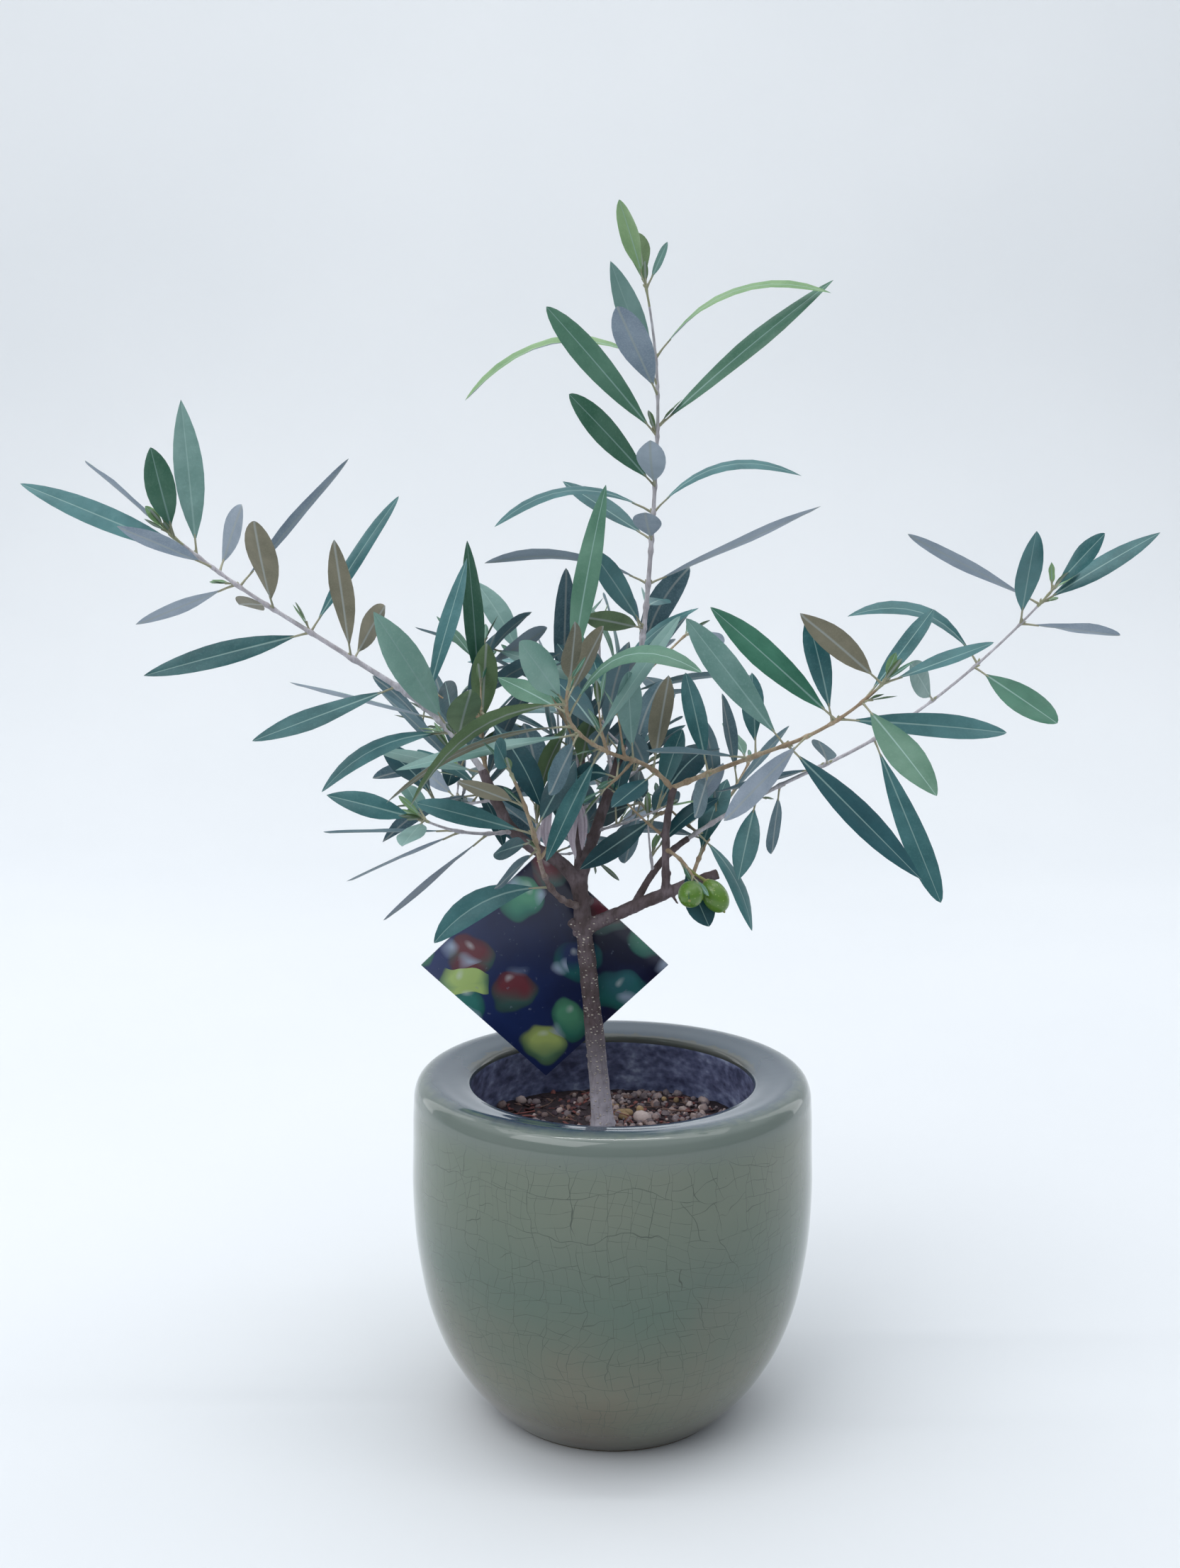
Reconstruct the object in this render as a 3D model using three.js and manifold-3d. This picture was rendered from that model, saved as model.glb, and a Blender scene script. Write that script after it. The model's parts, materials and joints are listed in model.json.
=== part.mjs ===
// Young olive tree in a glazed ceramic pot.
// Millimetres, +Z up, the front toward -Y, the origin in the middle of the pot's flat underside.
import * as THREE from 'three';
import { mergeVertices } from 'three/addons/utils/BufferGeometryUtils.js';
import Module from 'manifold-3d';

// Clearances between neighbouring pieces
const GAP = 0.3;
const LEAF_CLEARANCE = 3.7;
const SAME_SPRAY_CLEARANCE = 1.6;

// Pot: [radius, height] down the outside from the lip, then up the inside
const POT_SEGMENTS = 40;
const POT_OUTSIDE = [
  [61.5, 143], [69, 145], [76, 146], [81, 144], [83.6, 137], [84.6, 118],
  [84.9, 94], [82.4, 66], [76.8, 42], [67.3, 22], [56, 7.6], [48, 0],
];
const POT_INSIDE = [
  [40, 12], [58, 26], [67, 50], [69, 80], [63.6, 118], [59.5, 140],
];

// Compost
const SOIL_TOP = 118;
const SOIL_RIM_RADIUS = 63.6;
const LUMPS = 16;
const LUMP_SIZE = [1.8, 4.2];
const LUMP_FIELD = 54;
const TRUNK_CLEARING = 8;

// Trunk and boughs
const TRUNK_FOOT = [-3.8, 8];
const ROOT_FLARE = 1.5;
const FLARE_HEIGHT = 6;
const STEPS = 24;
const TRUNK_SIDES = 9;
const BOUGH_SIDES = 7;
const TWIG_SIDES = 3;

// Leaves
const LEAF_KEEL = 1 / 80;
const LEAF_RINGS = [
  { along: 0.1, half: 0.07 },
  { along: 0.38, half: 1 },
  { along: 0.78, half: 0.84 },
];
const PETIOLE_RADIUS = 0.55;
const COMMON_SAG = 0.005;
const NAMED_TRIES = 26;
const RULE_TRIES = 9;

// Label card
const CARD_SIDE = 75;
const CARD_THICKNESS = 0.8;
const CARD_CENTRE = [-29, 13.8, 188.8];
const CARD_LEAN = 9.7;
const CARD_TURN = -1;

// Limbs: each leaves its parent at a share of the parent's length and follows a course of
// [bearing, rise] headings, in degrees; bearing 0 is +X and 270 is the front.
const LIMBS = {
  trunk: { course: [[202, 85], [216, 83], [208, 84]], length: 109, radius: [4.5, 3.4] },
  leader_bough: {
    from: 'trunk', at: 1, course: [[52, 65], [25, 68], [22, 77]], length: 66, radius: [2.7, 1.8],
  },
  left_bough: {
    from: 'trunk', at: 0.975, course: [[172, 69], [185, 23], [192, 63], [189, 68]], length: 68,
    radius: [3.1, 2],
  },
  right_bough: {
    from: 'trunk', at: 0.82, course: [[350, 27], [348, 22]], length: 62, radius: [3, 2.3],
  },
  right_riser: {
    from: 'right_bough', at: 0.62, course: [[264, 76], [294, 89], [330, 73]], length: 46,
    radius: [1.8, 1.5],
  },
  right_lower_bough: {
    from: 'right_bough', at: 0.38, course: [[38, 57], [34, 45], [27, 26]], length: 39,
    radius: [1.6, 1.4],
  },
  back_bough: {
    from: 'trunk', at: 0.99, course: [[92, 52], [90, 52], [84, 56]], length: 62, radius: [2.4, 1.7],
  },
};

// Stubs fused to a limb: the knob where a shoot was cut under the first fork, and a dead snag
const STUBS = {
  knob: { from: 'trunk', at: 0.82, course: [[205, 22], [200, 40]], length: 7.4, radius: [2.4, 1.9] },
  snag: {
    from: 'right_bough', at: 0.66, course: [[300, -55], [318, -40]], length: 6.4, radius: [1, 0.4],
  },
};

// Sprays: one stem each, then the leaves that can be told apart in the front view, one a row:
// [share of the stem, bearing, rise, length, width, share of the upper side turned to the
// front (negative shows the underside), sag]. Pairs and twigs are added by the seeded rule.
const SPRAYS = {
  left_spray: {
    from: 'left_bough', at: 1, course: [[192, 56], [189, 33], [193, 33], [187, 41]], length: 157,
    radius: [1.9, 0.7], seed: 11, pairs: 2, size: 42,
    leaves: [
      [0.1, 279, 25, 62, 14, -0.9], [0.12, 191, -22, 59, 11, 0.6, 0.12], [0.14, 224, 54, 60, 15, 0.9],
      [0.17, 175, 14, 64, 10, -0.3], [0.22, 51, 67, 66, 11, 0.7], [0.31, 192, -20, 62, 11, 0.7],
      [0.44, 83, 24, 50, 11, -0.6], [0.45, 269, 58, 56, 11, -0.9], [0.57, 20, 57, 66, 11, 0.7],
      [0.57, 189, -14, 68, 11, 0.9], [0.68, 270, 41, 53, 14, -0.9], [0.7, 114, 0, 49, 11, -0.6],
      [0.78, 13, 50, 67, 10, -0.3], [0.79, 169, -19, 46, 10, -0.4], [0.84, 90, 35, 49, 10, -0.4],
      [0.86, 219, 24, 43, 11, -0.7], [0.9, 180, 22, 76, 11, 0.9], [0.91, 122, 79, 62, 12, 0.9],
      [0.98, 268, 47, 44, 12, 0.9], [0.99, 158, 37, 49, 11, -0.4], [0.99, 287, 76, 21, 4, 0.9],
      [1, 212, 64, 13, 4, 0.9],
    ],
  },
  leader_spray: {
    from: 'leader_bough', at: 1, course: [[19, 76], [26, 85], [294, 85], [224, 73]], length: 184,
    radius: [1.7, 0.6], seed: 23, pairs: 2, size: 44,
    leaves: [
      [0.22, 121, 60, 24, 4, -0.9], [0.24, 235, 42, 49, 11, 0.9], [0.24, 238, 9, 48, 10, -0.9],
      [0.29, 78, 3, 51, 11, 0.5], [0.34, 8, 24, 80, 10, -0.4], [0.34, 172, 8, 70, 10, -0.4, 0.1],
      [0.44, 146, 29, 52, 11, 0.7], [0.44, 264, 14, 52, 12, -0.9], [0.5, 5, 15, 65, 10, 0.4, 0.18],
      [0.5, 180, -4, 67, 10, 0.4, 0.18], [0.56, 226, 35, 60, 12, 0.9], [0.56, 264, 18, 53, 12, -0.9],
      [0.67, 199, 47, 69, 13, 0.9], [0.69, 352, 41, 91, 11, 0.7], [0.76, 246, 36, 54, 14, -0.9],
      [0.78, 225, 58, 54, 12, 0.9], [0.83, 180, -12, 80, 10, 0.4, 0.2],
      [0.84, 0, 14, 76, 10, 0.3, 0.18], [0.99, 217, 68, 36, 11, 0.7], [0.99, 102, 66, 26, 11, -0.6],
      [0.99, 308, 52, 21, 4, 0.8],
    ],
  },
  front_spray: {
    from: 'right_riser', at: 0.97, course: [[201, 53], [217, 14], [221, 35], [324, 66]], length: 80,
    radius: [1.3, 0.7], seed: 31, pairs: 0, size: 40,
    leaves: [
      [0.14, 234, -18, 32, 11, 0.6], [0.16, 286, 69, 43, 11, -0.9], [0.3, 261, 62, 42, 11, 0.9],
      [0.52, 213, -57, 50, 11, 0.7], [0.58, 347, 44, 63, 11, 0.5], [0.68, 180, -9, 74, 10, 0.4],
      [0.69, 249, -31, 38, 11, -0.8], [0.74, 184, -20, 79, 10, -0.3, 0.1],
      [0.8, 329, 20, 62, 11, 0.5, 0.25], [0.83, 138, 19, 39, 11, 0.7], [0.87, 242, 38, 43, 14, 0.9],
      [0.88, 203, -30, 73, 11, -0.6, 0.16], [0.89, 68, 48, 40, 11, -0.7],
      [0.97, 275, 39, 45, 11, -0.7], [1, 337, 80, 76, 11, 0.9],
    ],
  },
  left_back_spray: {
    from: 'left_bough', at: 0.9, course: [[102, 35], [102, 63], [68, 65]], length: 68,
    radius: [1.3, 0.7], seed: 43, pairs: 2, size: 42,
    leaves: [
      [0.09, 174, 12, 48, 11, 0.4], [0.64, 24, 79, 66, 11, 0.8], [0.82, 36, 26, 38, 11, -0.6],
      [0.98, 349, -14, 54, 11, 0.6],
    ],
  },
  right_upper_spray: {
    from: 'right_riser', at: 1, course: [[337, 24], [339, 21], [332, 46]], length: 98,
    radius: [1.4, 0.7], seed: 57, pairs: 0, size: 44,
    leaves: [
      [0.16, 126, 70, 43, 11, 0.9], [0.16, 259, -14, 47, 11, -0.9], [0.35, 193, 8, 43, 10, -0.4],
      [0.38, 90, 58, 38, 11, 0.7], [0.51, 173, 51, 64, 14, 0.9], [0.52, 344, -44, 75, 13, 0.9],
      [0.61, 210, -37, 50, 11, -0.9], [0.73, 225, 71, 44, 11, 0.9], [0.75, 191, 41, 68, 13, 0.9],
      [0.76, 356, -4, 66, 11, 0.9], [0.88, 299, -33, 55, 15, 0.9], [0.89, 27, 46, 48, 11, 0.5],
      [0.99, 204, 38, 47, 12, -0.9], [0.99, 14, 32, 47, 11, 0.4], [1, 311, 65, 13, 4, 0.9],
    ],
  },
  right_lower_spray: {
    from: 'right_lower_bough', at: 1, course: [[14, 31], [6, 23], [4, 38], [338, 50]], length: 188,
    radius: [1.3, 0.6], seed: 61, pairs: 2, size: 44,
    leaves: [
      [0.02, 328, -54, 48, 11, 0.6, 0.1], [0.18, 251, -42, 43, 11, 0.9], [0.24, 97, -59, 39, 11, -0.6],
      [0.34, 193, -11, 47, 11, -0.5], [0.36, 260, 18, 53, 11, -0.6], [0.48, 323, -64, 75, 13, 0.9],
      [0.64, 250, 19, 56, 12, 0.9], [0.76, 313, -27, 46, 14, 0.9], [0.77, 180, 21, 60, 11, 0.6, 0.2],
      [0.9, 12, -5, 47, 10, -0.4], [0.9, 267, 57, 46, 14, 0.9], [0.96, 180, 28, 64, 10, -0.4],
      [0.96, 0, 32, 58, 11, 0.7], [0.99, 308, 44, 36, 11, 0.5], [1, 311, 65, 12, 4, 0.9],
    ],
  },
  front_left_spray: {
    from: 'trunk', at: 0.91, course: [[234, 13], [255, 60], [236, 54]], length: 90,
    radius: [1.7, 0.8], seed: 71, pairs: 0, size: 40,
    leaves: [
      [0.3, 192, -22, 53, 12, 0.9, 0.12], [0.55, 245, -12, 39, 11, -0.6], [0.6, 131, -17, 28, 11, 0.6],
      [0.64, 180, 16, 48, 11, 0.7], [0.64, 37, 63, 37, 11, 0.9], [0.8, 212, 25, 32, 11, -0.8],
      [0.99, 257, 35, 25, 11, 0.5], [0.99, 54, 70, 18, 11, -0.5],
    ],
  },
  low_left_spray: {
    from: 'left_bough', at: 0.57, course: [[226, -2], [216, 10], [202, 27]], length: 44,
    radius: [1.1, 0.6], seed: 83, pairs: 0, size: 36,
    leaves: [
      [0.3, 186, -37, 56, 10, -0.3], [0.21, 262, -42, 34, 11, -0.6], [0.61, 174, -23, 53, 10, -0.3],
      [0.61, 269, 38, 38, 11, 0.6], [0.66, 175, -1, 55, 10, -0.3], [0.99, 198, 17, 41, 11, 0.8],
      [0.98, 131, 45, 19, 11, 0.5], [1, 264, -3, 40, 11, 0.4],
    ],
  },
  fruiting_twig: {
    from: 'right_riser', at: 0.42, course: [[304, -8], [298, -19], [289, -33]], length: 24,
    radius: [1, 0.7], seed: 89, pairs: 0, size: 30,
    leaves: [[0.44, 319, -60, 30, 13, 0.9]],
  },
  riser_spray: {
    from: 'right_riser', at: 0.78, course: [[115, -22], [109, 0], [104, 21]], length: 36,
    radius: [1, 0.6], seed: 97, pairs: 1, size: 36,
    leaves: [
      [0.2, 190, -34, 41, 10, 0.9], [0.9, 132, -19, 36, 11, 0.8], [0.9, 109, -55, 37, 11, -0.7],
    ],
  },
  back_left_spray: {
    from: 'back_bough', at: 1, course: [[118, 50], [132, 34], [140, 40]], length: 112,
    radius: [1.4, 0.6], seed: 101, pairs: 6, twigs: 1, size: 58, leaves: [],
  },
  back_right_spray: {
    from: 'back_bough', at: 0.97, course: [[62, 45], [50, 26], [44, 34]], length: 118,
    radius: [1.4, 0.6], seed: 113, pairs: 6, twigs: 1, size: 58, leaves: [],
  },
  back_low_spray: {
    from: 'back_bough', at: 0.5, course: [[100, 0], [98, 18], [92, 30]], length: 84,
    radius: [1.2, 0.6], seed: 127, pairs: 5, twigs: 1, size: 52, leaves: [],
  },
  back_high_spray: {
    from: 'leader_bough', at: 0.7, course: [[98, 30], [96, 46], [88, 58]], length: 88,
    radius: [1.2, 0.6], seed: 131, pairs: 5, twigs: 0, size: 50, leaves: [],
  },
  right_rear_spray: {
    from: 'right_bough', at: 0.8, course: [[78, 20], [66, 26], [58, 36]], length: 96,
    radius: [1.2, 0.6], seed: 149, pairs: 6, twigs: 1, size: 54, leaves: [],
  },
  left_rear_spray: {
    from: 'left_bough', at: 0.72, course: [[112, 8], [122, 20], [128, 32]], length: 88,
    radius: [1.2, 0.6], seed: 151, pairs: 5, twigs: 1, size: 52, leaves: [],
  },
};

// Olives: [across, forward, down] from the end of their twig to the middle of the fruit, then
// the heading of the long axis, the width and the length
const OLIVES = [
  { offset: [-1, -4, -6.2], axis: [262, -12], width: 11, length: 14.5 },
  { offset: [9.2, 3.5, -8.6], axis: [330, -55], width: 11, length: 15.5 },
];

// Colours with roughness
const FINISH = {
  pot: { color: 0x768470, roughness: 0.22 },
  soil: { color: 0x3c2c25, roughness: 0.95 },
  wood: { color: 0x6e6157, roughness: 0.85 },
  spray: { color: 0x3d6457, roughness: 0.55 },
  card: { color: 0x1c2140, roughness: 0.4 },
};

const UP = new THREE.Vector3(0, 0, 1);
const FRONT = new THREE.Vector3(0, -1, 0);
const wasm = await Module();
wasm.setup();

function seeded(seed) {
  let state = seed;
  return () => {
    state = (state * 16807) % 2147483647;
    return state / 2147483647;
  };
}

function heading([bearing, rise]) {
  const turn = THREE.MathUtils.degToRad(bearing);
  const lift = THREE.MathUtils.degToRad(rise);
  const level = Math.cos(lift);
  return new THREE.Vector3(Math.cos(turn) * level, Math.sin(turn) * level, Math.sin(lift));
}

function across(vector, way) {
  return vector.clone().addScaledVector(way, -vector.dot(way)).normalize();
}

// Closed meshes

function solid(points, faces) {
  const mesh = new wasm.Mesh({
    numProp: 3,
    vertProperties: new Float32Array(points.flatMap((point) => point.toArray())),
    triVerts: new Uint32Array(faces.flat()),
  });
  return new wasm.Manifold(mesh);
}

function solidFrom(geometry) {
  geometry.deleteAttribute('normal');
  geometry.deleteAttribute('uv');
  const merged = mergeVertices(geometry, 1e-4);
  const mesh = new wasm.Mesh({
    numProp: 3,
    vertProperties: new Float32Array(merged.attributes.position.array),
    triVerts: new Uint32Array(merged.index.array),
  });
  return new wasm.Manifold(mesh);
}

function ringBand(lower, upper, count, faces) {
  for (let i = 0; i < count; i += 1) {
    const next = (i + 1) % count;
    faces.push([lower + i, lower + next, upper + next]);
    faces.push([lower + i, upper + next, upper + i]);
  }
}

// A profile of [radius, height] from axis to axis, turned about the pot's axis
function revolve(profile) {
  const points = [];
  const faces = [];
  const starts = profile.map(([radius, height]) => {
    const first = points.length;
    const count = radius === 0 ? 1 : POT_SEGMENTS;
    for (let i = 0; i < count; i += 1) {
      const turn = (i / POT_SEGMENTS) * Math.PI * 2;
      points.push(new THREE.Vector3(radius * Math.cos(turn), radius * Math.sin(turn), height));
    }
    return { first, count };
  });
  for (let k = 0; k + 1 < starts.length; k += 1) {
    const a = starts[k];
    const b = starts[k + 1];
    for (let i = 0; i < POT_SEGMENTS; i += 1) {
      const next = (i + 1) % POT_SEGMENTS;
      if (a.count > 1) {
        faces.push([a.first + i, a.first + next, b.first + (b.count > 1 ? i : 0)]);
      }
      if (b.count > 1) {
        faces.push([a.first + (a.count > 1 ? next : 0), b.first + next, b.first + i]);
      }
    }
  }
  return solid(points, faces);
}

function tube(points, radii, sides, flatFoot = false) {
  const vertices = [];
  const faces = [];
  let side = null;
  points.forEach((point, i) => {
    const before = points[Math.max(i - 1, 0)];
    const after = points[Math.min(i + 1, points.length - 1)];
    const way = after.clone().sub(before).normalize();
    side = side ? across(side, way) : across(Math.abs(way.z) > 0.9 ? FRONT : UP, way);
    const other = way.clone().cross(side);
    for (let k = 0; k < sides; k += 1) {
      const turn = (k / sides) * Math.PI * 2;
      const vertex = point.clone();
      vertex.addScaledVector(side, Math.cos(turn) * radii[i]);
      vertex.addScaledVector(other, Math.sin(turn) * radii[i]);
      if (flatFoot && i === 0) {
        vertex.z = point.z;
      }
      vertices.push(vertex);
    }
    if (i > 0) {
      ringBand((i - 1) * sides, i * sides, sides, faces);
    }
  });
  const last = (points.length - 1) * sides;
  for (let k = 1; k + 1 < sides; k += 1) {
    faces.push([0, k + 1, k]);
    faces.push([last, last + k, last + k + 1]);
  }
  return solid(vertices, faces);
}

// Stems

function grow(start, course, length) {
  const headings = course.map(heading);
  const points = [start.clone()];
  for (let step = 0; step < STEPS; step += 1) {
    const along = ((step + 0.5) / STEPS) * (headings.length - 1);
    const leg = Math.min(Math.floor(along), headings.length - 2);
    const way = headings[leg].clone().lerp(headings[leg + 1], along - leg).normalize();
    points.push(points.at(-1).clone().addScaledVector(way, length / STEPS));
  }
  return points;
}

function pointOn(stem, share) {
  const along = share * STEPS;
  const step = Math.min(Math.floor(along), STEPS - 1);
  return stem.points[step].clone().lerp(stem.points[step + 1], along - step);
}

function wayOn(stem, share) {
  const step = Math.min(Math.floor(share * STEPS), STEPS - 1);
  return stem.points[step + 1].clone().sub(stem.points[step]).normalize();
}

function radiusOn(stem, share) {
  const flare = stem.flare ? stem.flare * Math.exp((-share * stem.length) / FLARE_HEIGHT) : 0;
  return THREE.MathUtils.lerp(stem.radius[0], stem.radius[1], share) + flare;
}

function stemSolid(stem, extra = 0) {
  const stride = stem.sides === TWIG_SIDES ? 3 : 2;
  const points = [];
  const radii = [];
  const margin = extra / Math.cos(Math.PI / stem.sides);
  for (let step = 0; step <= STEPS; step += stride) {
    points.push(stem.points[step].clone());
    radii.push(radiusOn(stem, step / STEPS) + margin);
  }
  if (extra > 0) {
    points[0].addScaledVector(wayOn(stem, 0), -extra);
    points.at(-1).addScaledVector(wayOn(stem, 1), extra);
  }
  return tube(points, radii, stem.sides, stem.flare && extra === 0);
}

const stems = {};

function addStem(name, row, sides) {
  const parent = stems[row.from];
  const start = parent
    ? pointOn(parent, row.at)
    : new THREE.Vector3(TRUNK_FOOT[0], TRUNK_FOOT[1], SOIL_TOP + GAP);
  if (parent && row.at === 1) {
    start.addScaledVector(heading(row.course[0]), GAP * 1.5);
  }
  stems[name] = {
    name,
    owner: name,
    points: grow(start, row.course, row.length),
    length: row.length,
    radius: row.radius,
    flare: parent ? 0 : ROOT_FLARE,
    sides,
  };
  return stems[name];
}

Object.entries(LIMBS).forEach(([name, row]) => {
  addStem(name, row, name === 'trunk' ? TRUNK_SIDES : BOUGH_SIDES);
});
Object.entries(SPRAYS).forEach(([name, row]) => addStem(name, row, TWIG_SIDES));

// A direction that leaves a stem at an angle, turned about it
function branchWay(way, turn, open) {
  const level = across(Math.abs(way.z) > 0.97 ? FRONT : way.clone().cross(UP).normalize(), way);
  const upper = level.clone().cross(way);
  const around = THREE.MathUtils.degToRad(turn);
  const lean = THREE.MathUtils.degToRad(open);
  const branch = way.clone().multiplyScalar(Math.cos(lean));
  branch.addScaledVector(level, Math.cos(around) * Math.sin(lean));
  branch.addScaledVector(upper, Math.sin(around) * Math.sin(lean));
  return branch;
}

// Side twigs of a spray, each a short stem of its own
Object.entries(SPRAYS).forEach(([name, row]) => {
  const random = seeded(row.seed * 7919);
  for (let k = 0; k < (row.twigs ?? 0); k += 1) {
    const at = 0.25 + 0.5 * ((k + random()) / row.twigs);
    const way = branchWay(wayOn(stems[name], at), 360 * random(), 48 + 14 * random());
    const bearing = THREE.MathUtils.radToDeg(Math.atan2(way.y, way.x));
    const rise = THREE.MathUtils.radToDeg(Math.asin(way.z));
    const twig = addStem(`${name}_twig_${k}`, {
      from: name, at, course: [[bearing, rise], [bearing, rise + 14]], length: 34 + 14 * random(),
      radius: [0.9, 0.55],
    }, TWIG_SIDES);
    twig.owner = name;
  }
});

// Leaves

function leafFrame(leaf, along) {
  const bow = across(UP, leaf.way);
  const lift = 4 * leaf.sag * along * (1 - along);
  const slope = 4 * leaf.sag * (1 - 2 * along);
  const middle = leaf.base.clone().addScaledVector(leaf.way, leaf.length * along);
  middle.addScaledVector(bow, leaf.length * lift);
  const way = leaf.way.clone().addScaledVector(bow, slope).normalize();
  const face = across(leaf.face, way);
  return { middle, face, side: way.clone().cross(face) };
}

function leafSolid(leaf) {
  const points = [];
  const faces = [];
  const keel = leaf.length * LEAF_KEEL;
  const rings = [{ along: 0, half: 0 }, ...LEAF_RINGS];
  rings.forEach(({ along, half }, i) => {
    const { middle, face, side } = leafFrame(leaf, along);
    const reach = Math.max((half * leaf.width) / 2, PETIOLE_RADIUS);
    const depth = Math.max(half > 0.5 ? keel : 0, PETIOLE_RADIUS * 1.5);
    points.push(middle.clone().addScaledVector(side, reach).addScaledVector(face, depth * 0.3));
    points.push(middle.clone().addScaledVector(side, -reach).addScaledVector(face, depth * 0.3));
    points.push(middle.clone().addScaledVector(face, -depth * 0.7));
    if (i > 0) {
      ringBand((i - 1) * 3, i * 3, 3, faces);
    }
  });
  const last = (rings.length - 1) * 3;
  const tip = points.length;
  points.push(leafFrame(leaf, 1).middle);
  faces.push([0, 2, 1]);
  faces.push([last, last + 1, tip], [last + 1, last + 2, tip], [last + 2, last, tip]);
  const body = solid(points, faces);
  return body.volume() < 0 ? solid(points, faces.map(([a, b, c]) => [a, c, b])) : body;
}

function namedLeaf(stem, row, random, attempt) {
  const [share, bearing, rise, length, width, facing, sag = COMMON_SAG] = row;
  const stray = 2.5 * attempt;
  const turned = bearing + stray * (random() - 0.5);
  const way = heading([turned, rise + stray * (random() - 0.5)]);
  const front = across(FRONT, way);
  const edge = way.clone().cross(front);
  const lean = Math.sqrt(1 - facing * facing) * (edge.z < 0 ? -1 : 1);
  const face = front.multiplyScalar(facing).addScaledVector(edge, lean);
  return { owner: stem.owner, stem, base: pointOn(stem, share), way, length, width, face, sag };
}

function ruledLeaf(stem, row, random, attempt) {
  const [share, turn, open, length] = row;
  const stemWay = wayOn(stem, share);
  const stray = 22 * attempt;
  const way = branchWay(stemWay, turn + stray * (random() - 0.5), open + stray * (random() - 0.5));
  way.z += 0.18;
  way.normalize();
  const face = across(stemWay.clone().addScaledVector(UP, 0.9), way);
  face.applyAxisAngle(way, 0.8 * (random() - 0.5));
  const width = 9.5 + 3.5 * random();
  const sag = 0.02 + 0.1 * random();
  return { owner: stem.owner, stem, base: pointOn(stem, share), way, length, width, face, sag };
}

// Opposite pairs up a stem, each turned a quarter from the last, shorter toward the tip
function ruledRows(pairs, size, random) {
  const rows = [];
  let turn = 360 * random();
  for (let pair = 0; pair < pairs; pair += 1) {
    const share = 0.12 + 0.88 * ((pair + 0.6) / pairs);
    turn += 90 + 24 * (random() - 0.5);
    [0, 180].forEach((opposite) => {
      const open = 66 - 30 * share + 16 * (random() - 0.5);
      const length = size * (1.08 - 0.36 * share * share) * (0.86 + 0.28 * random());
      rows.push([Math.min(share, 1), turn + opposite, open, length]);
    });
  }
  return rows;
}

// Distance between two segments
function segmentDistance(a, b, c, d) {
  const u = b.clone().sub(a);
  const v = d.clone().sub(c);
  const w = a.clone().sub(c);
  const uu = u.dot(u);
  const uv = u.dot(v);
  const vv = v.dot(v);
  const uw = u.dot(w);
  const vw = v.dot(w);
  const spread = uu * vv - uv * uv;
  const clamp = (value) => Math.min(Math.max(value, 0), 1);
  let s = spread > 1e-9 ? clamp((uv * vw - vv * uw) / spread) : 0;
  const t = clamp((uv * s + vw) / vv);
  s = clamp((uv * t - uw) / uu);
  return w.addScaledVector(u, s).addScaledVector(v, -t).length();
}

// The middle and the two edges of a blade
function leafLines(leaf) {
  const lines = [[], [], []];
  [[0.16, 0.25], [0.38, 1], [0.78, 0.84], [1, 0]].forEach(([along, half]) => {
    const { middle, side } = leafFrame(leaf, along);
    [-1, 0, 1].forEach((edge, i) => {
      lines[i].push(middle.clone().addScaledVector(side, (edge * half * leaf.width) / 2));
    });
  });
  return lines;
}

function linesClear(lines, others, clearance) {
  return lines.every((line) => others.every((other) => {
    for (let i = 0; i + 1 < line.length; i += 1) {
      for (let j = 0; j + 1 < other.length; j += 1) {
        if (segmentDistance(line[i], line[i + 1], other[j], other[j + 1]) < clearance) {
          return false;
        }
      }
    }
    return true;
  }));
}

function near(a, b, reach) {
  return a.centre.distanceTo(b.centre) < a.reach + b.reach + reach;
}

const obstacles = Object.values(stems).map((stem) => {
  const line = stem.points.filter((_, i) => i % 3 === 0);
  return {
    owner: stem.owner,
    lines: [line],
    centre: line[4],
    reach: stem.length / 2 + 1,
    clearance: LEAF_CLEARANCE + (stem.radius[0] + stem.radius[1]) / 2,
  };
});
const settled = [];

function settle(leaf) {
  const lines = leafLines(leaf);
  const entry = { leaf, lines, owner: leaf.owner, centre: lines[1][2], reach: leaf.length * 0.62 };
  const clear = obstacles.every((stem) => stem.owner === leaf.owner
    || !near(entry, stem, stem.clearance) || linesClear(lines, stem.lines, stem.clearance));
  if (!clear) {
    return false;
  }
  const free = settled.every((other) => {
    const clearance = other.owner === leaf.owner ? SAME_SPRAY_CLEARANCE : LEAF_CLEARANCE;
    return !near(entry, other, clearance) || linesClear(lines, other.lines, clearance);
  });
  if (free) {
    settled.push(entry);
  }
  return free;
}

// Turns a leaf aside a little at a time until it is clear, and leaves it out if it never is
function place(stem, row, random, make, tries) {
  for (let attempt = 0; attempt < tries; attempt += 1) {
    if (settle(make(stem, row, random, attempt))) {
      return;
    }
  }
}

Object.entries(SPRAYS).forEach(([name, spray]) => {
  const random = seeded(spray.seed * 104729);
  spray.leaves.forEach((row) => place(stems[name], row, random, namedLeaf, NAMED_TRIES));
});
Object.entries(SPRAYS).forEach(([name, spray]) => {
  const random = seeded(spray.seed * 15485863);
  Object.values(stems).filter((stem) => stem.owner === name).forEach((stem) => {
    const own = stem.name === name;
    const rows = ruledRows(own ? spray.pairs : 2, own ? spray.size : spray.size * 0.72, random);
    rows.forEach((row) => place(stem, row, random, ruledLeaf, RULE_TRIES));
  });
});

// The whole tree as named solids

const solids = {};
const sleeves = {};

solids.pot = revolve([[0, 0], ...POT_OUTSIDE.toReversed(), ...POT_INSIDE.toReversed(), [0, 12]]);

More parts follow.
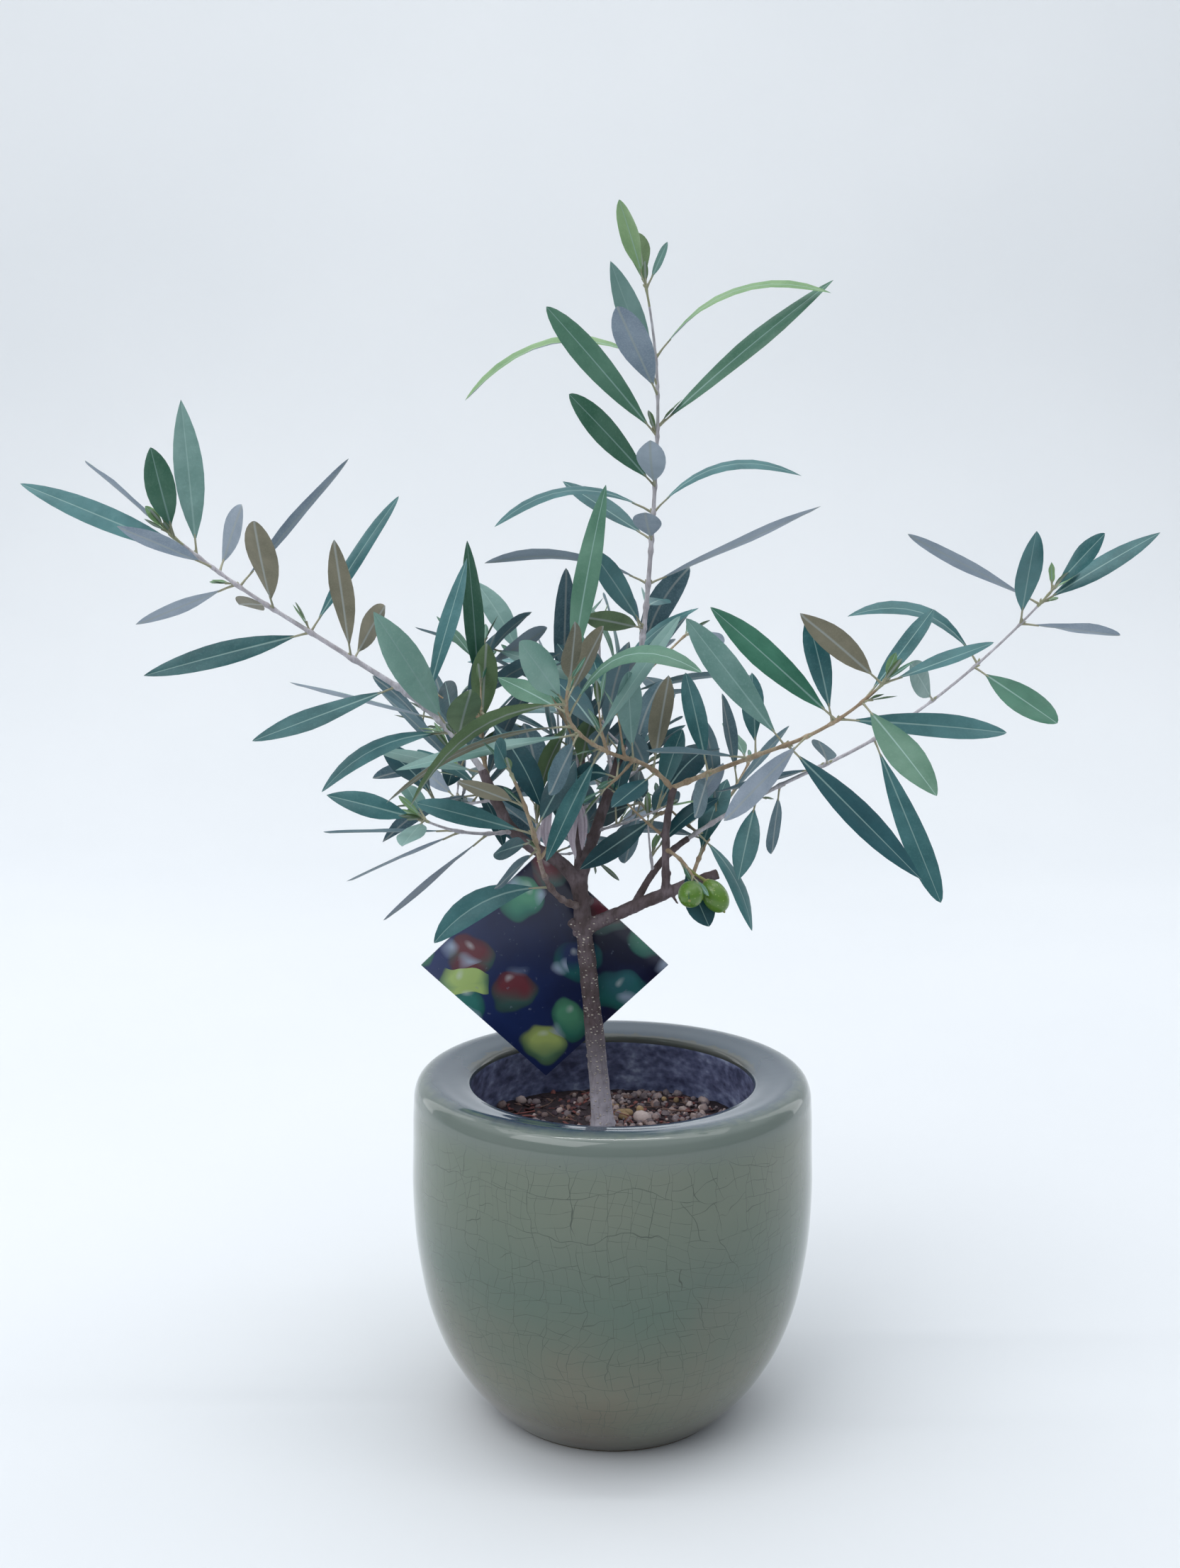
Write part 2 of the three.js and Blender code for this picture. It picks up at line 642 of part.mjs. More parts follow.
const soilRandom = seeded(4242);
const soilWall = POT_INSIDE.filter(([, height]) => height < SOIL_TOP)
  .map(([radius, height]) => [radius - GAP * 1.4, height + GAP * (height < 20 ? 1.2 : 0)]);
let soil = revolve([
  [0, 12 + GAP * 1.2], ...soilWall, [SOIL_RIM_RADIUS - GAP * 1.4, SOIL_TOP], [0, SOIL_TOP],
]);
for (let k = 0; k < LUMPS; k += 1) {
  const turn = soilRandom() * Math.PI * 2;
  const out = LUMP_FIELD * Math.sqrt(soilRandom());
  const size = LUMP_SIZE[0] + (LUMP_SIZE[1] - LUMP_SIZE[0]) * soilRandom() ** 2;
  const lump = new THREE.IcosahedronGeometry(size, 0);
  lump.rotateX(soilRandom() * 3);
  lump.scale(1, 0.6 + 0.4 * soilRandom(), 0.55);
  lump.rotateZ(soilRandom() * 3);
  lump.translate(out * Math.cos(turn), out * Math.sin(turn), SOIL_TOP);
  const fromTrunk = Math.hypot(
    out * Math.cos(turn) - TRUNK_FOOT[0],
    out * Math.sin(turn) - TRUNK_FOOT[1],
  );
  if (fromTrunk > TRUNK_CLEARING + size) {
    soil = soil.add(solidFrom(lump));
  }
}
solids.soil = soil;

Object.keys(LIMBS).forEach((name) => {
  let limb = stemSolid(stems[name]);
  Object.entries(STUBS).filter(([, row]) => row.from === name).forEach(([stub, row]) => {
    limb = limb.add(stemSolid(addStem(stub, row, BOUGH_SIDES)));
  });
  Object.values(sleeves).forEach((sleeve) => {
    limb = limb.subtract(sleeve);
  });
  solids[name] = limb;
  sleeves[name] = stemSolid(stems[name], GAP);
});

function biggest(body) {
  return body.decompose().sort((a, b) => b.volume() - a.volume())[0];
}

Object.keys(SPRAYS).forEach((name) => {
  let spray = null;
  Object.values(stems).filter((stem) => stem.owner === name).forEach((stem) => {
    const wood = stemSolid(stem);
    spray = spray ? spray.add(wood) : wood;
  });
  settled.filter((entry) => entry.owner === name).forEach((entry) => {
    spray = spray.add(leafSolid(entry.leaf));
  });
  if (name === 'fruiting_twig') {
    OLIVES.forEach(({ offset, axis, width, length }, k) => {
      const tip = pointOn(stems[name], 0.97);
      const middle = tip.clone().add(new THREE.Vector3(...offset));
      const olive = new THREE.SphereGeometry(width / 2, 12, 8);
      olive.rotateX(Math.PI / 2);
      olive.scale(1, 1, length / width);
      olive.applyQuaternion(new THREE.Quaternion().setFromUnitVectors(UP, heading(axis)));
      olive.translate(...middle.toArray());
      const stalkTop = pointOn(stems[name], k === 0 ? 0.95 : 0.75);
      const stalk = tube([stalkTop, stalkTop.clone().lerp(middle, 0.6)], [0.6, 0.6], 4);
      spray = spray.add(stalk).add(solidFrom(olive));
    });
  }
  Object.values(sleeves).forEach((sleeve) => {
    spray = spray.subtract(sleeve);
  });
  solids[name] = biggest(spray);
  sleeves[name] = stemSolid(stems[name], GAP);
});

// The card hangs from the left bough behind the trunk, a corner down over the compost
const card = new THREE.BoxGeometry(CARD_SIDE, CARD_THICKNESS, CARD_SIDE);
card.rotateY(Math.PI / 4);
card.rotateX(THREE.MathUtils.degToRad(CARD_LEAN));
card.rotateZ(THREE.MathUtils.degToRad(CARD_TURN));
card.translate(...CARD_CENTRE);
solids.label_card = solidFrom(card);

function meshOf(name, body, { color, roughness }) {
  const { numProp, vertProperties, triVerts } = body.getMesh();
  const positions = new Float32Array((vertProperties.length / numProp) * 3);
  for (let i = 0; i * numProp < vertProperties.length; i += 1) {
    positions.set(vertProperties.slice(i * numProp, i * numProp + 3), i * 3);
  }
  const geometry = new THREE.BufferGeometry();
  geometry.setAttribute('position', new THREE.BufferAttribute(positions, 3));
  geometry.setIndex(new THREE.BufferAttribute(new Uint32Array(triVerts), 1));
  geometry.computeVertexNormals();
  const mesh = new THREE.Mesh(
    geometry,
    new THREE.MeshStandardMaterial({ color, roughness, metalness: 0 }),
  );
  mesh.name = name;
  return mesh;
}

const FINISH_OF = { pot: 'pot', soil: 'soil', label_card: 'card' };
const group = new THREE.Group();
group.name = 'potted_olive_tree';
Object.entries(solids).forEach(([name, body]) => {
  const kind = FINISH_OF[name] ?? (name in LIMBS ? 'wood' : 'spray');
  group.add(meshOf(name, body, FINISH[kind]));
});

export default group;
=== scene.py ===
"""Potted olive tree: bark, shoots, leaves, olives, glazed pot, compost and label card.

The tree grows here by the same seeded rule as its solids. Sizes in the tables are millimetres and
headings are degrees; a piece is in metres once it is made.
"""
import functools
import json
import math
from types import SimpleNamespace

import bpy
import numpy as np
from mathutils import Color, Euler, Matrix, Vector, noise

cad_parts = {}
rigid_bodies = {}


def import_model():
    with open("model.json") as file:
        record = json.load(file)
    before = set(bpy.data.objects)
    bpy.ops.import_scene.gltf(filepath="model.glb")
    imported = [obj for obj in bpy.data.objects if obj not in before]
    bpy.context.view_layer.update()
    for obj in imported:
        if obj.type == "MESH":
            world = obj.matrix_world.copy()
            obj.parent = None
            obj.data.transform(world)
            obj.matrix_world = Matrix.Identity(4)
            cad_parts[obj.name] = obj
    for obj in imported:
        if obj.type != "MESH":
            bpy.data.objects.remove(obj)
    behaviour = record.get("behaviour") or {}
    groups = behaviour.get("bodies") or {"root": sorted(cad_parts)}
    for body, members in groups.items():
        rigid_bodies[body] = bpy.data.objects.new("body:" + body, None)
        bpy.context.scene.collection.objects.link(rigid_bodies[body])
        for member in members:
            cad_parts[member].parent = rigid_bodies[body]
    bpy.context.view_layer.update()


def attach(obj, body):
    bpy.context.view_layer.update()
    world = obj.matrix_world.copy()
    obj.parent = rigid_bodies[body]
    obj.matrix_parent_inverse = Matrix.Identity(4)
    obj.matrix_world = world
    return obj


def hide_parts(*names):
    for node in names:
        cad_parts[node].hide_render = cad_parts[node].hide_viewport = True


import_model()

bl_info = {
    "name": "Potted olive tree",
    "version": (1, 0, 0),
    "blender": (4, 5, 0),
    "location": "View3D > Sidebar > Olive tree",
    "description": "Makes a young olive tree in a glazed pot",
    "category": "Object",
}

MM = 0.001

# Clearances between neighbouring pieces
GAP = 0.3
LEAF_CLEARANCE = 3.7
SAME_SPRAY_CLEARANCE = 1.6

# Pot: [radius, height] up the outside to the lip, then down the inside to the floor of the hollow
POT_OUTSIDE = [
    (48, 0), (56, 7.6), (67.3, 22), (76.8, 42), (82.4, 66), (84.9, 94), (84.6, 118), (84.1, 135),
    (83.4, 140.6), (81.2, 144.4), (77.4, 145.9), (70, 145.2), (62.6, 143.6), (60.6, 142.7),
]
POT_INSIDE = [(59.9, 140.6), (60.4, 137), (63.6, 118), (69, 80), (67, 50), (58, 26), (40, 12)]
POT_TURNS = 128
CRACKS_ROUND = 62

# Compost
SOIL_TOP = 118
SOIL_RIM_RADIUS = 63.2
SOIL_DEPTH = 8
SOIL_RINGS = 48
SOIL_TURNS = 120

# Trunk and boughs
TRUNK_FOOT = (-3.8, 8)
ROOT_FLARE = 1.5
FLARE_HEIGHT = 6
STEPS = 24

# Leaves
COMMON_SAG = 0.005
NAMED_TRIES = 26
RULE_TRIES = 9

# Factors that give each kind of growth its own run of draws
TWIG_RUN = 7919
NAMED_RUN = 104729
RULED_RUN = 15485863
FINE_RUN = 60493

# Label card
CARD_SIDE = 75
CARD_THICKNESS = 0.8
CARD_CENTRE = (-29, 13.8, 188.8)
CARD_LEAN = 9.7
CARD_TURN = -1
CARD_CORNER = 45
CARD_BOW = 0.6

# Limbs: each leaves its parent at a share of the parent's length and follows a course of
# (bearing, rise) headings; bearing 0 is +X and 270 is the front.
LIMBS = {
    "trunk": dict(
        length=109, radius=(4.5, 3.4), course=[(202, 85), (216, 83), (208, 84)],
    ),
    "leader_bough": dict(
        parent="trunk", at=1, length=66, radius=(2.7, 1.8), course=[(52, 65), (25, 68), (22, 77)],
    ),
    "left_bough": dict(
        parent="trunk", at=0.975, length=68, radius=(3.1, 2),
        course=[(172, 69), (185, 23), (192, 63), (189, 68)],
    ),
    "right_bough": dict(
        parent="trunk", at=0.82, length=62, radius=(3, 2.3), course=[(350, 27), (348, 22)],
    ),
    "right_riser": dict(
        parent="right_bough", at=0.62, length=46, radius=(1.8, 1.5),
        course=[(264, 76), (294, 89), (330, 73)],
    ),
    "right_lower_bough": dict(
        parent="right_bough", at=0.38, length=39, radius=(1.6, 1.4),
        course=[(38, 57), (34, 45), (27, 26)],
    ),
    "back_bough": dict(
        parent="trunk", at=0.99, length=62, radius=(2.4, 1.7),
        course=[(92, 52), (90, 52), (84, 56)],
    ),
}

# Stubs on a limb: the knob where a shoot was cut under the first fork, and a dead snag
STUBS = {
    "knob": dict(
        parent="trunk", at=0.82, length=7.4, radius=(2.4, 1.9), course=[(205, 22), (200, 40)],
    ),
    "snag": dict(
        parent="right_bough", at=0.66, length=6.4, radius=(1, 0.4), course=[(300, -55), (318, -40)],
    ),
}

# Sprays: one stem each, then the leaves that can be told apart in the front view, one a row:
# (share of the stem, bearing, rise, length, width, share of the upper side turned to the front
# (negative shows the underside), sag). Pairs and twigs are added by the seeded rule. bark, tints
# and backs name the finishes that are dealt out along the spray, backs being SHADED_BACKS
# unless given.
# Slate undersides and deep upper sides are painted shade, darker copies for leaves in the crown's
# shade; pale upper sides are painted light
SHADED_BACKS = "slate slate mauve"
SPRAYS = {
    "left_spray": dict(
        parent="left_bough", at=1, length=157, radius=(1.9, 0.7), seed=11, pairs=2, size=42,
        course=[(192, 56), (189, 33), (193, 33), (187, 41)], bark="grey",
        tints="teal teal pale sage teal teal teal teal teal teal teal teal teal teal teal teal "
              "teal sage green green young young",
        backs="olive mauve mauve beige mauve beige mauve mauve mauve mauve mauve",
        leaves=[
            (0.1, 279, 25, 62, 14, -0.9), (0.12, 191, -22, 59, 11, 0.6, 0.12),
            (0.14, 224, 54, 60, 15, 0.9), (0.17, 175, 14, 64, 10, -0.3),
            (0.22, 51, 67, 66, 11, 0.7), (0.31, 192, -20, 62, 11, 0.7),
            (0.44, 83, 24, 50, 11, -0.6), (0.45, 269, 58, 56, 11, -0.9),
            (0.57, 20, 57, 66, 11, 0.7), (0.57, 189, -14, 68, 11, 0.9),
            (0.68, 270, 41, 53, 14, -0.9), (0.7, 114, 0, 49, 11, -0.6),
            (0.78, 13, 50, 67, 10, -0.3), (0.79, 169, -19, 46, 10, -0.4),
            (0.84, 90, 35, 49, 10, -0.4), (0.86, 219, 24, 43, 11, -0.7),
            (0.9, 180, 22, 76, 11, 0.9), (0.91, 122, 79, 62, 12, 0.9), (0.98, 268, 47, 44, 12, 0.9),
            (0.99, 158, 37, 49, 11, -0.4), (0.99, 287, 76, 21, 4, 0.9), (1, 212, 64, 13, 4, 0.9),
        ],
    ),
    "leader_spray": dict(
        parent="leader_bough", at=1, length=184, radius=(1.7, 0.6), seed=23, pairs=2, size=44,
        course=[(19, 76), (26, 85), (294, 85), (224, 73)], bark="grey",
        tints="teal teal teal teal teal green green sage young young sage",
        backs="slate olive mauve mauve mauve mauve beige mauve mauve olive mauve",
        leaves=[
            (0.22, 121, 60, 24, 4, -0.9), (0.24, 235, 42, 49, 11, 0.9),
            (0.24, 238, 9, 48, 10, -0.9), (0.29, 78, 3, 51, 11, 0.5), (0.34, 8, 24, 80, 10, -0.4),
            (0.34, 172, 8, 70, 10, -0.4, 0.1), (0.44, 146, 29, 52, 11, 0.7),
            (0.44, 264, 14, 52, 12, -0.9), (0.5, 5, 15, 65, 10, 0.4, 0.18),
            (0.5, 180, -4, 67, 10, 0.4, 0.18), (0.56, 226, 35, 60, 12, 0.9),
            (0.56, 264, 18, 53, 12, -0.9), (0.67, 199, 47, 69, 13, 0.9),
            (0.69, 352, 41, 91, 11, 0.7), (0.76, 246, 36, 54, 14, -0.9),
            (0.78, 225, 58, 54, 12, 0.9), (0.83, 180, -12, 80, 10, 0.4, 0.2),
            (0.84, 0, 14, 76, 10, 0.3, 0.18), (0.99, 217, 68, 36, 11, 0.7),
            (0.99, 102, 66, 26, 11, -0.6), (0.99, 308, 52, 21, 4, 0.8),
        ],
    ),
    "front_spray": dict(
        parent="right_riser", at=0.97, length=80, radius=(1.3, 0.7), seed=31, pairs=0, size=40,
        course=[(201, 53), (217, 14), (221, 35), (324, 66)], bark="tan",
        tints="deep teal sage teal sage sage sage teal green green pale teal teal teal green",
        backs="olive beige slate slate slate slate slate beige slate slate slate olive beige "
              "beige olive",
        leaves=[
            (0.14, 234, -18, 32, 11, 0.6), (0.16, 286, 69, 43, 11, -0.9),
            (0.3, 261, 62, 42, 11, 0.9), (0.52, 213, -57, 50, 11, 0.7),
            (0.58, 347, 44, 63, 11, 0.5), (0.68, 180, -9, 74, 10, 0.4),
            (0.69, 249, -31, 38, 11, -0.8), (0.74, 184, -20, 79, 10, -0.3, 0.1),
            (0.8, 329, 20, 62, 11, 0.5, 0.25), (0.83, 138, 19, 39, 11, 0.7),
            (0.87, 242, 38, 43, 14, 0.9), (0.88, 203, -30, 73, 11, -0.6, 0.16),
            (0.89, 68, 48, 40, 11, -0.7), (0.97, 275, 39, 45, 11, -0.7), (1, 337, 80, 76, 11, 0.9),
        ],
    ),
    "left_back_spray": dict(
        parent="left_bough", at=0.9, length=68, radius=(1.3, 0.7), seed=43, pairs=2, size=42,
        course=[(102, 35), (102, 63), (68, 65)], bark="tan",
        tints="sage green teal sage green teal teal green",
        backs="slate slate mauve slate slate olive slate slate",
        leaves=[
            (0.09, 174, 12, 48, 11, 0.4), (0.64, 24, 79, 66, 11, 0.8), (0.82, 36, 26, 38, 11, -0.6),
            (0.98, 349, -14, 54, 11, 0.6),
        ],
    ),
    "right_upper_spray": dict(
        parent="right_riser", at=1, length=98, radius=(1.4, 0.7), seed=57, pairs=0, size=44,
        course=[(337, 24), (339, 21), (332, 46)], bark="tan",
        tints="teal teal deep teal sage deep teal teal moss teal green teal teal teal young",
        backs="slate slate slate slate mauve slate mauve mauve beige mauve",
        leaves=[
            (0.16, 126, 70, 43, 11, 0.9), (0.16, 259, -14, 47, 11, -0.9),
            (0.35, 193, 8, 43, 10, -0.4), (0.38, 90, 58, 38, 11, 0.7), (0.51, 173, 51, 64, 14, 0.9),
            (0.52, 344, -44, 75, 13, 0.9), (0.61, 210, -37, 50, 11, -0.9),
            (0.73, 225, 71, 44, 11, 0.9), (0.75, 191, 41, 68, 13, 0.9),
            (0.76, 356, -4, 66, 11, 0.9), (0.88, 299, -33, 55, 15, 0.9),
            (0.89, 27, 46, 48, 11, 0.5), (0.99, 204, 38, 47, 12, -0.9), (0.99, 14, 32, 47, 11, 0.4),
            (1, 311, 65, 13, 4, 0.9),
        ],
    ),
    "right_lower_spray": dict(
        parent="right_lower_bough", at=1, length=188, radius=(1.3, 0.6), seed=61, pairs=2, size=44,
        course=[(14, 31), (6, 23), (4, 38), (338, 50)], bark="grey",
        tints="teal teal teal teal teal teal sage moss teal teal teal sage teal teal young",
        backs="slate slate beige mauve mauve mauve",
        leaves=[
            (0.02, 328, -54, 48, 11, 0.6, 0.1), (0.18, 251, -42, 43, 11, 0.9),
            (0.24, 97, -59, 39, 11, -0.6), (0.34, 193, -11, 47, 11, -0.5),
            (0.36, 260, 18, 53, 11, -0.6), (0.48, 323, -64, 75, 13, 0.9),
            (0.64, 250, 19, 56, 12, 0.9), (0.76, 313, -27, 46, 14, 0.9),
            (0.77, 180, 21, 60, 11, 0.6, 0.2), (0.9, 12, -5, 47, 10, -0.4),
            (0.9, 267, 57, 46, 14, 0.9), (0.96, 180, 28, 64, 10, -0.4), (0.96, 0, 32, 58, 11, 0.7),
            (0.99, 308, 44, 36, 11, 0.5), (1, 311, 65, 12, 4, 0.9),
        ],
    ),
    "front_left_spray": dict(
        parent="trunk", at=0.91, length=90, radius=(1.7, 0.8), seed=71, pairs=0, size=40,
        course=[(234, 13), (255, 60), (236, 54)], bark="tan",
        tints="teal teal deep teal deep teal teal sage",
        backs="slate slate slate beige slate",
        knots=8,
        leaves=[
            (0.3, 192, -22, 53, 12, 0.9, 0.12), (0.55, 245, -12, 39, 11, -0.6),
            (0.6, 131, -17, 28, 11, 0.6), (0.64, 180, 16, 48, 11, 0.7), (0.64, 37, 63, 37, 11, 0.9),
            (0.8, 212, 25, 32, 11, -0.8), (0.99, 257, 35, 25, 11, 0.5),
            (0.99, 54, 70, 18, 11, -0.5),
        ],
    ),
    "low_left_spray": dict(
        parent="left_bough", at=0.57, length=44, radius=(1.1, 0.6), seed=83, pairs=0, size=36,
        course=[(226, -2), (216, 10), (202, 27)], bark="grey",
        tints="teal teal teal green teal sage sage teal", backs="mauve slate mauve mauve",
        leaves=[
            (0.3, 186, -37, 56, 10, -0.3), (0.21, 262, -42, 34, 11, -0.6),
            (0.61, 174, -23, 53, 10, -0.3), (0.61, 269, 38, 38, 11, 0.6),
            (0.66, 175, -1, 55, 10, -0.3), (0.99, 198, 17, 41, 11, 0.8),
            (0.98, 131, 45, 19, 11, 0.5), (1, 264, -3, 40, 11, 0.4),
        ],
    ),
    "fruiting_twig": dict(
        parent="right_riser", at=0.42, length=24, radius=(1, 0.7), seed=89, pairs=0, size=30,
        course=[(304, -8), (298, -19), (289, -33)], bark="tan", tints="deep", backs="slate",
        leaves=[
            (0.44, 319, -60, 30, 13, 0.9),
        ],
    ),
    "riser_spray": dict(
        parent="right_riser", at=0.78, length=36, radius=(1, 0.6), seed=97, pairs=1, size=36,
        course=[(115, -22), (109, 0), (104, 21)], bark="tan", tints="deep deep teal", backs="slate",
        leaves=[
            (0.2, 190, -34, 41, 10, 0.9), (0.9, 132, -19, 36, 11, 0.8),
            (0.9, 109, -55, 37, 11, -0.7),
        ],
    ),
    "back_left_spray": dict(
        parent="back_bough", at=1, length=112, radius=(1.4, 0.6), seed=101, pairs=6, twigs=1,
        size=58, course=[(118, 50), (132, 34), (140, 40)], bark="tan",
        tints="teal deep green teal sage green",
    ),
    "back_right_spray": dict(
        parent="back_bough", at=0.97, length=118, radius=(1.4, 0.6), seed=113, pairs=6, twigs=1,
        size=58, course=[(62, 45), (50, 26), (44, 34)], bark="tan",
        tints="deep teal green sage teal green",
    ),
    "back_low_spray": dict(
        parent="back_bough", at=0.5, length=84, radius=(1.2, 0.6), seed=127, pairs=5, twigs=1,
        size=52, course=[(100, 0), (98, 18), (92, 30)], bark="grey",
        tints="teal green teal sage",
    ),
    "back_high_spray": dict(
        parent="leader_bough", at=0.7, length=88, radius=(1.2, 0.6), seed=131, pairs=5, twigs=0,
        size=50, course=[(98, 30), (96, 46), (88, 58)], bark="grey", tints="green teal green sage",
    ),
    "right_rear_spray": dict(
        parent="right_bough", at=0.8, length=96, radius=(1.2, 0.6), seed=149, pairs=6, twigs=1,
        size=54, course=[(78, 20), (66, 26), (58, 36)], bark="tan",
        tints="teal green teal",
    ),
    "left_rear_spray": dict(
        parent="left_bough", at=0.72, length=88, radius=(1.2, 0.6), seed=151, pairs=5, twigs=1,
        size=52, course=[(112, 8), (122, 20), (128, 32)], bark="grey",
        tints="teal green",
    ),
}

# Olives: offset to the right, back and up from the end of their twig to the middle of the fruit,
# heading of the long axis, width, length, and share of the twig where the stalk leaves it
OLIVES = [
    dict(offset=(-1, -4, -6.2), axis=(262, -12), width=10.3, length=13.6, stalk_from=0.95),
    dict(offset=(9.2, 3.5, -8.6), axis=(330, -55), width=10.3, length=14.6, stalk_from=0.75),
]

# Dried leaves caught in the fork: foot, heading, length and width
DRIED_LEAVES = [
    dict(foot=(-14, 1, 269), way=(250, -80), length=31, width=8),
    dict(foot=(-19, 1, 270), way=(320, -76), length=29, width=7),
    dict(foot=(-21, 2, 267), way=(215, -74), length=26, width=7.5),
    dict(foot=(-28, -1, 254), way=(230, -60), length=13, width=6),
]

# Fine twigs that fill the heart of the crown: (mass they belong to, stem that carries them,
# first and last share of it, how many, how far they reach)
FINE_TWIGS = [
    ("low_left_spray", "left_bough", 0.3, 1.0, 6, 30),
    ("low_left_spray", "low_left_spray", 0.15, 0.7, 3, 26),
    ("front_left_spray", "front_left_spray", 0.45, 0.95, 5, 26),
    ("left_back_spray", "left_back_spray", 0.1, 0.6, 4, 28),
    ("left_rear_spray", "left_rear_spray", 0.1, 0.7, 4, 28),
    ("back_low_spray", "back_bough", 0.15, 1.0, 6, 32),
    ("back_low_spray", "back_low_spray", 0.1, 0.6, 3, 28),
    ("back_high_spray", "leader_bough", 0.25, 1.0, 6, 28),
    ("back_high_spray", "back_high_spray", 0.1, 0.5, 3, 26),
    ("riser_spray", "right_riser", 0.3, 1.0, 4, 24),
    ("right_lower_spray", "right_lower_bough", 0.4, 1.0, 4, 26),
    ("right_rear_spray", "right_rear_spray", 0.1, 0.5, 3, 26),
    ("front_spray", "front_spray", 0.1, 0.6, 4, 24),
]
HEART_MIDDLE = (-14, 32, 283)
HEART_REACH = (86, 50, 55)
FINE_LEAF_LENGTH = 44
FINE_TRIES = 14

# Sprays that stand against the sky, which carry no leaves but those that can be told apart
OPEN_SPRAYS = ("left_spray", "leader_spray", "right_lower_spray")

# Behind the heart, ruled leaves show within an upright oval: its middle and reach in x and z
REAR_SPRAYS = ("left_back_spray", "back_left_spray", "back_right_spray", "back_high_spray",
               "left_rear_spray", "right_rear_spray")
REAR_MIDDLE = (-14, 285)
REAR_REACH = (88, 57)

# Share of a stem's radius in the solids that its shoot has here, and the shares of a shoot's
# length where its skin changes: brown and dun on a shoot off the trunk, green at every tip
SHOOT_SLIMNESS = 0.76
BROWN_UNTIL = 0.38
DUN_UNTIL = 0.5
GREEN_FROM = 0.95
SHOOT_SPACING = 1.1
SHOOT_SIDES = 10

# Swellings where shoots were cut: limb, share of its length, bearing it faces and size
SCARS = [
    ("trunk", 0.81, 200, 1.6), ("trunk", 0.5, 330, 0.8), ("trunk", 0.3, 170, 0.7),
    ("trunk", 0.93, 350, 1.9), ("right_bough", 0.2, 80, 1.3), ("right_bough", 0.5, 90, 1.2),
    ("right_bough", 0.86, 300, 1.1), ("left_bough", 0.2, 250, 1.4), ("left_bough", 0.45, 90, 1.2),
    ("left_bough", 0.62, 260, 1.0), ("right_riser", 0.2, 0, 0.8), ("right_riser", 0.55, 180, 0.9),
    ("leader_bough", 0.3, 200, 1.1), ("leader_bough", 0.62, 20, 0.9),
]

UP = np.array((0.0, 0.0, 1.0))
FRONT = np.array((0.0, -1.0, 0.0))


def linear(text):
    """A six-digit sRGB colour as linear red, green and blue."""
    parts = [int(text[i:i + 2], 16) / 255 for i in (1, 3, 5)]
    return tuple(c / 12.92 if c <= 0.04045 else ((c + 0.055) / 1.055) ** 2.4 for c in parts)


def seeded(seed):
    """Draws the same run of numbers between 0 and 1 for the same seed."""
    state = seed

    def draw():
        nonlocal state
        state = state * 16807 % 2147483647
        return state / 2147483647

    return draw


# Growth

def unit(vector):
    return vector / math.sqrt(vector @ vector)


def heading(bearing, rise):
    turn, lift = math.radians(bearing), math.radians(rise)
    level = math.cos(lift)
    return np.array((math.cos(turn) * level, math.sin(turn) * level, math.sin(lift)))


def bearing_and_rise(way):
    return math.degrees(math.atan2(way[1], way[0])), math.degrees(math.asin(way[2]))


def across(vector, way):
    """The part of a vector that is square to a direction, as a direction."""
    return unit(vector - way * (vector @ way))


def grow(start, course, length):
    """Points up a stem that turns evenly from each heading of its course to the next."""
    ways = [heading(*leg) for leg in course]
    points = [start]
    for step in range(STEPS):
        along = (step + 0.5) / STEPS * (len(ways) - 1)
        leg = min(int(along), len(ways) - 2)
        way = unit(ways[leg] + (ways[leg + 1] - ways[leg]) * (along - leg))
        points.append(points[-1] + way * (length / STEPS))
    return np.array(points)


class Stem:
    """A limb, shoot or side twig that tapers from its foot to its tip."""

    def __init__(self, name, stems, parent=None, at=0, owner=None, **row):
        if parent is None:
            start = np.array((TRUNK_FOOT[0], TRUNK_FOOT[1], SOIL_TOP + GAP))
        else:
            start = stems[parent].point(at)
        if parent is not None and at == 1:
            start = start + heading(*row["course"][0]) * (GAP * 1.5)
        self.name = name
        self.owner = owner or name
        self.carrier = parent
        self.at = at
        self.end = 1
        self.at_tip = at == 1
        self.length = row["length"]
        self.radius = row["radius"]
        self.flare = 0 if parent else ROOT_FLARE
        self.points = grow(start, row["course"], row["length"])
        stems[name] = self

    def point(self, share):
        step = min(int(share * STEPS), STEPS - 1)
        leg = self.points[step + 1] - self.points[step]
        return self.points[step] + leg * (share * STEPS - step)

    def way(self, share):
        step = min(int(share * STEPS), STEPS - 1)
        return unit(self.points[step + 1] - self.points[step])

    def radius_at(self, share):
        flare = self.flare * math.exp(-share * self.length / FLARE_HEIGHT)
        return self.radius[0] + (self.radius[1] - self.radius[0]) * share + flare


def branch_way(way, turn, spread):
    """A direction that leaves a stem at an angle, turned about it."""
    level = across(FRONT if abs(way[2]) > 0.97 else unit(np.cross(way, UP)), way)
    upper = np.cross(level, way)
    around, lean = math.radians(turn), math.radians(spread)
    sideways = level * math.cos(around) + upper * math.sin(around)
    return way * math.cos(lean) + sideways * math.sin(lean)


def add_side_twigs(stems):
    for name, row in SPRAYS.items():
        draw = seeded(row["seed"] * TWIG_RUN)
        twigs = row.get("twigs", 0)
        for k in range(twigs):
            at = 0.25 + 0.5 * ((k + draw()) / twigs)
            way = branch_way(stems[name].way(at), 360 * draw(), 48 + 14 * draw())
            bearing, rise = bearing_and_rise(way)
            course = [(bearing, rise), (bearing, rise + 14)]
            Stem(f"{name}_twig_{k}", stems, parent=name, at=at, owner=name, course=course,
                 length=34 + 14 * draw(), radius=(0.9, 0.55))


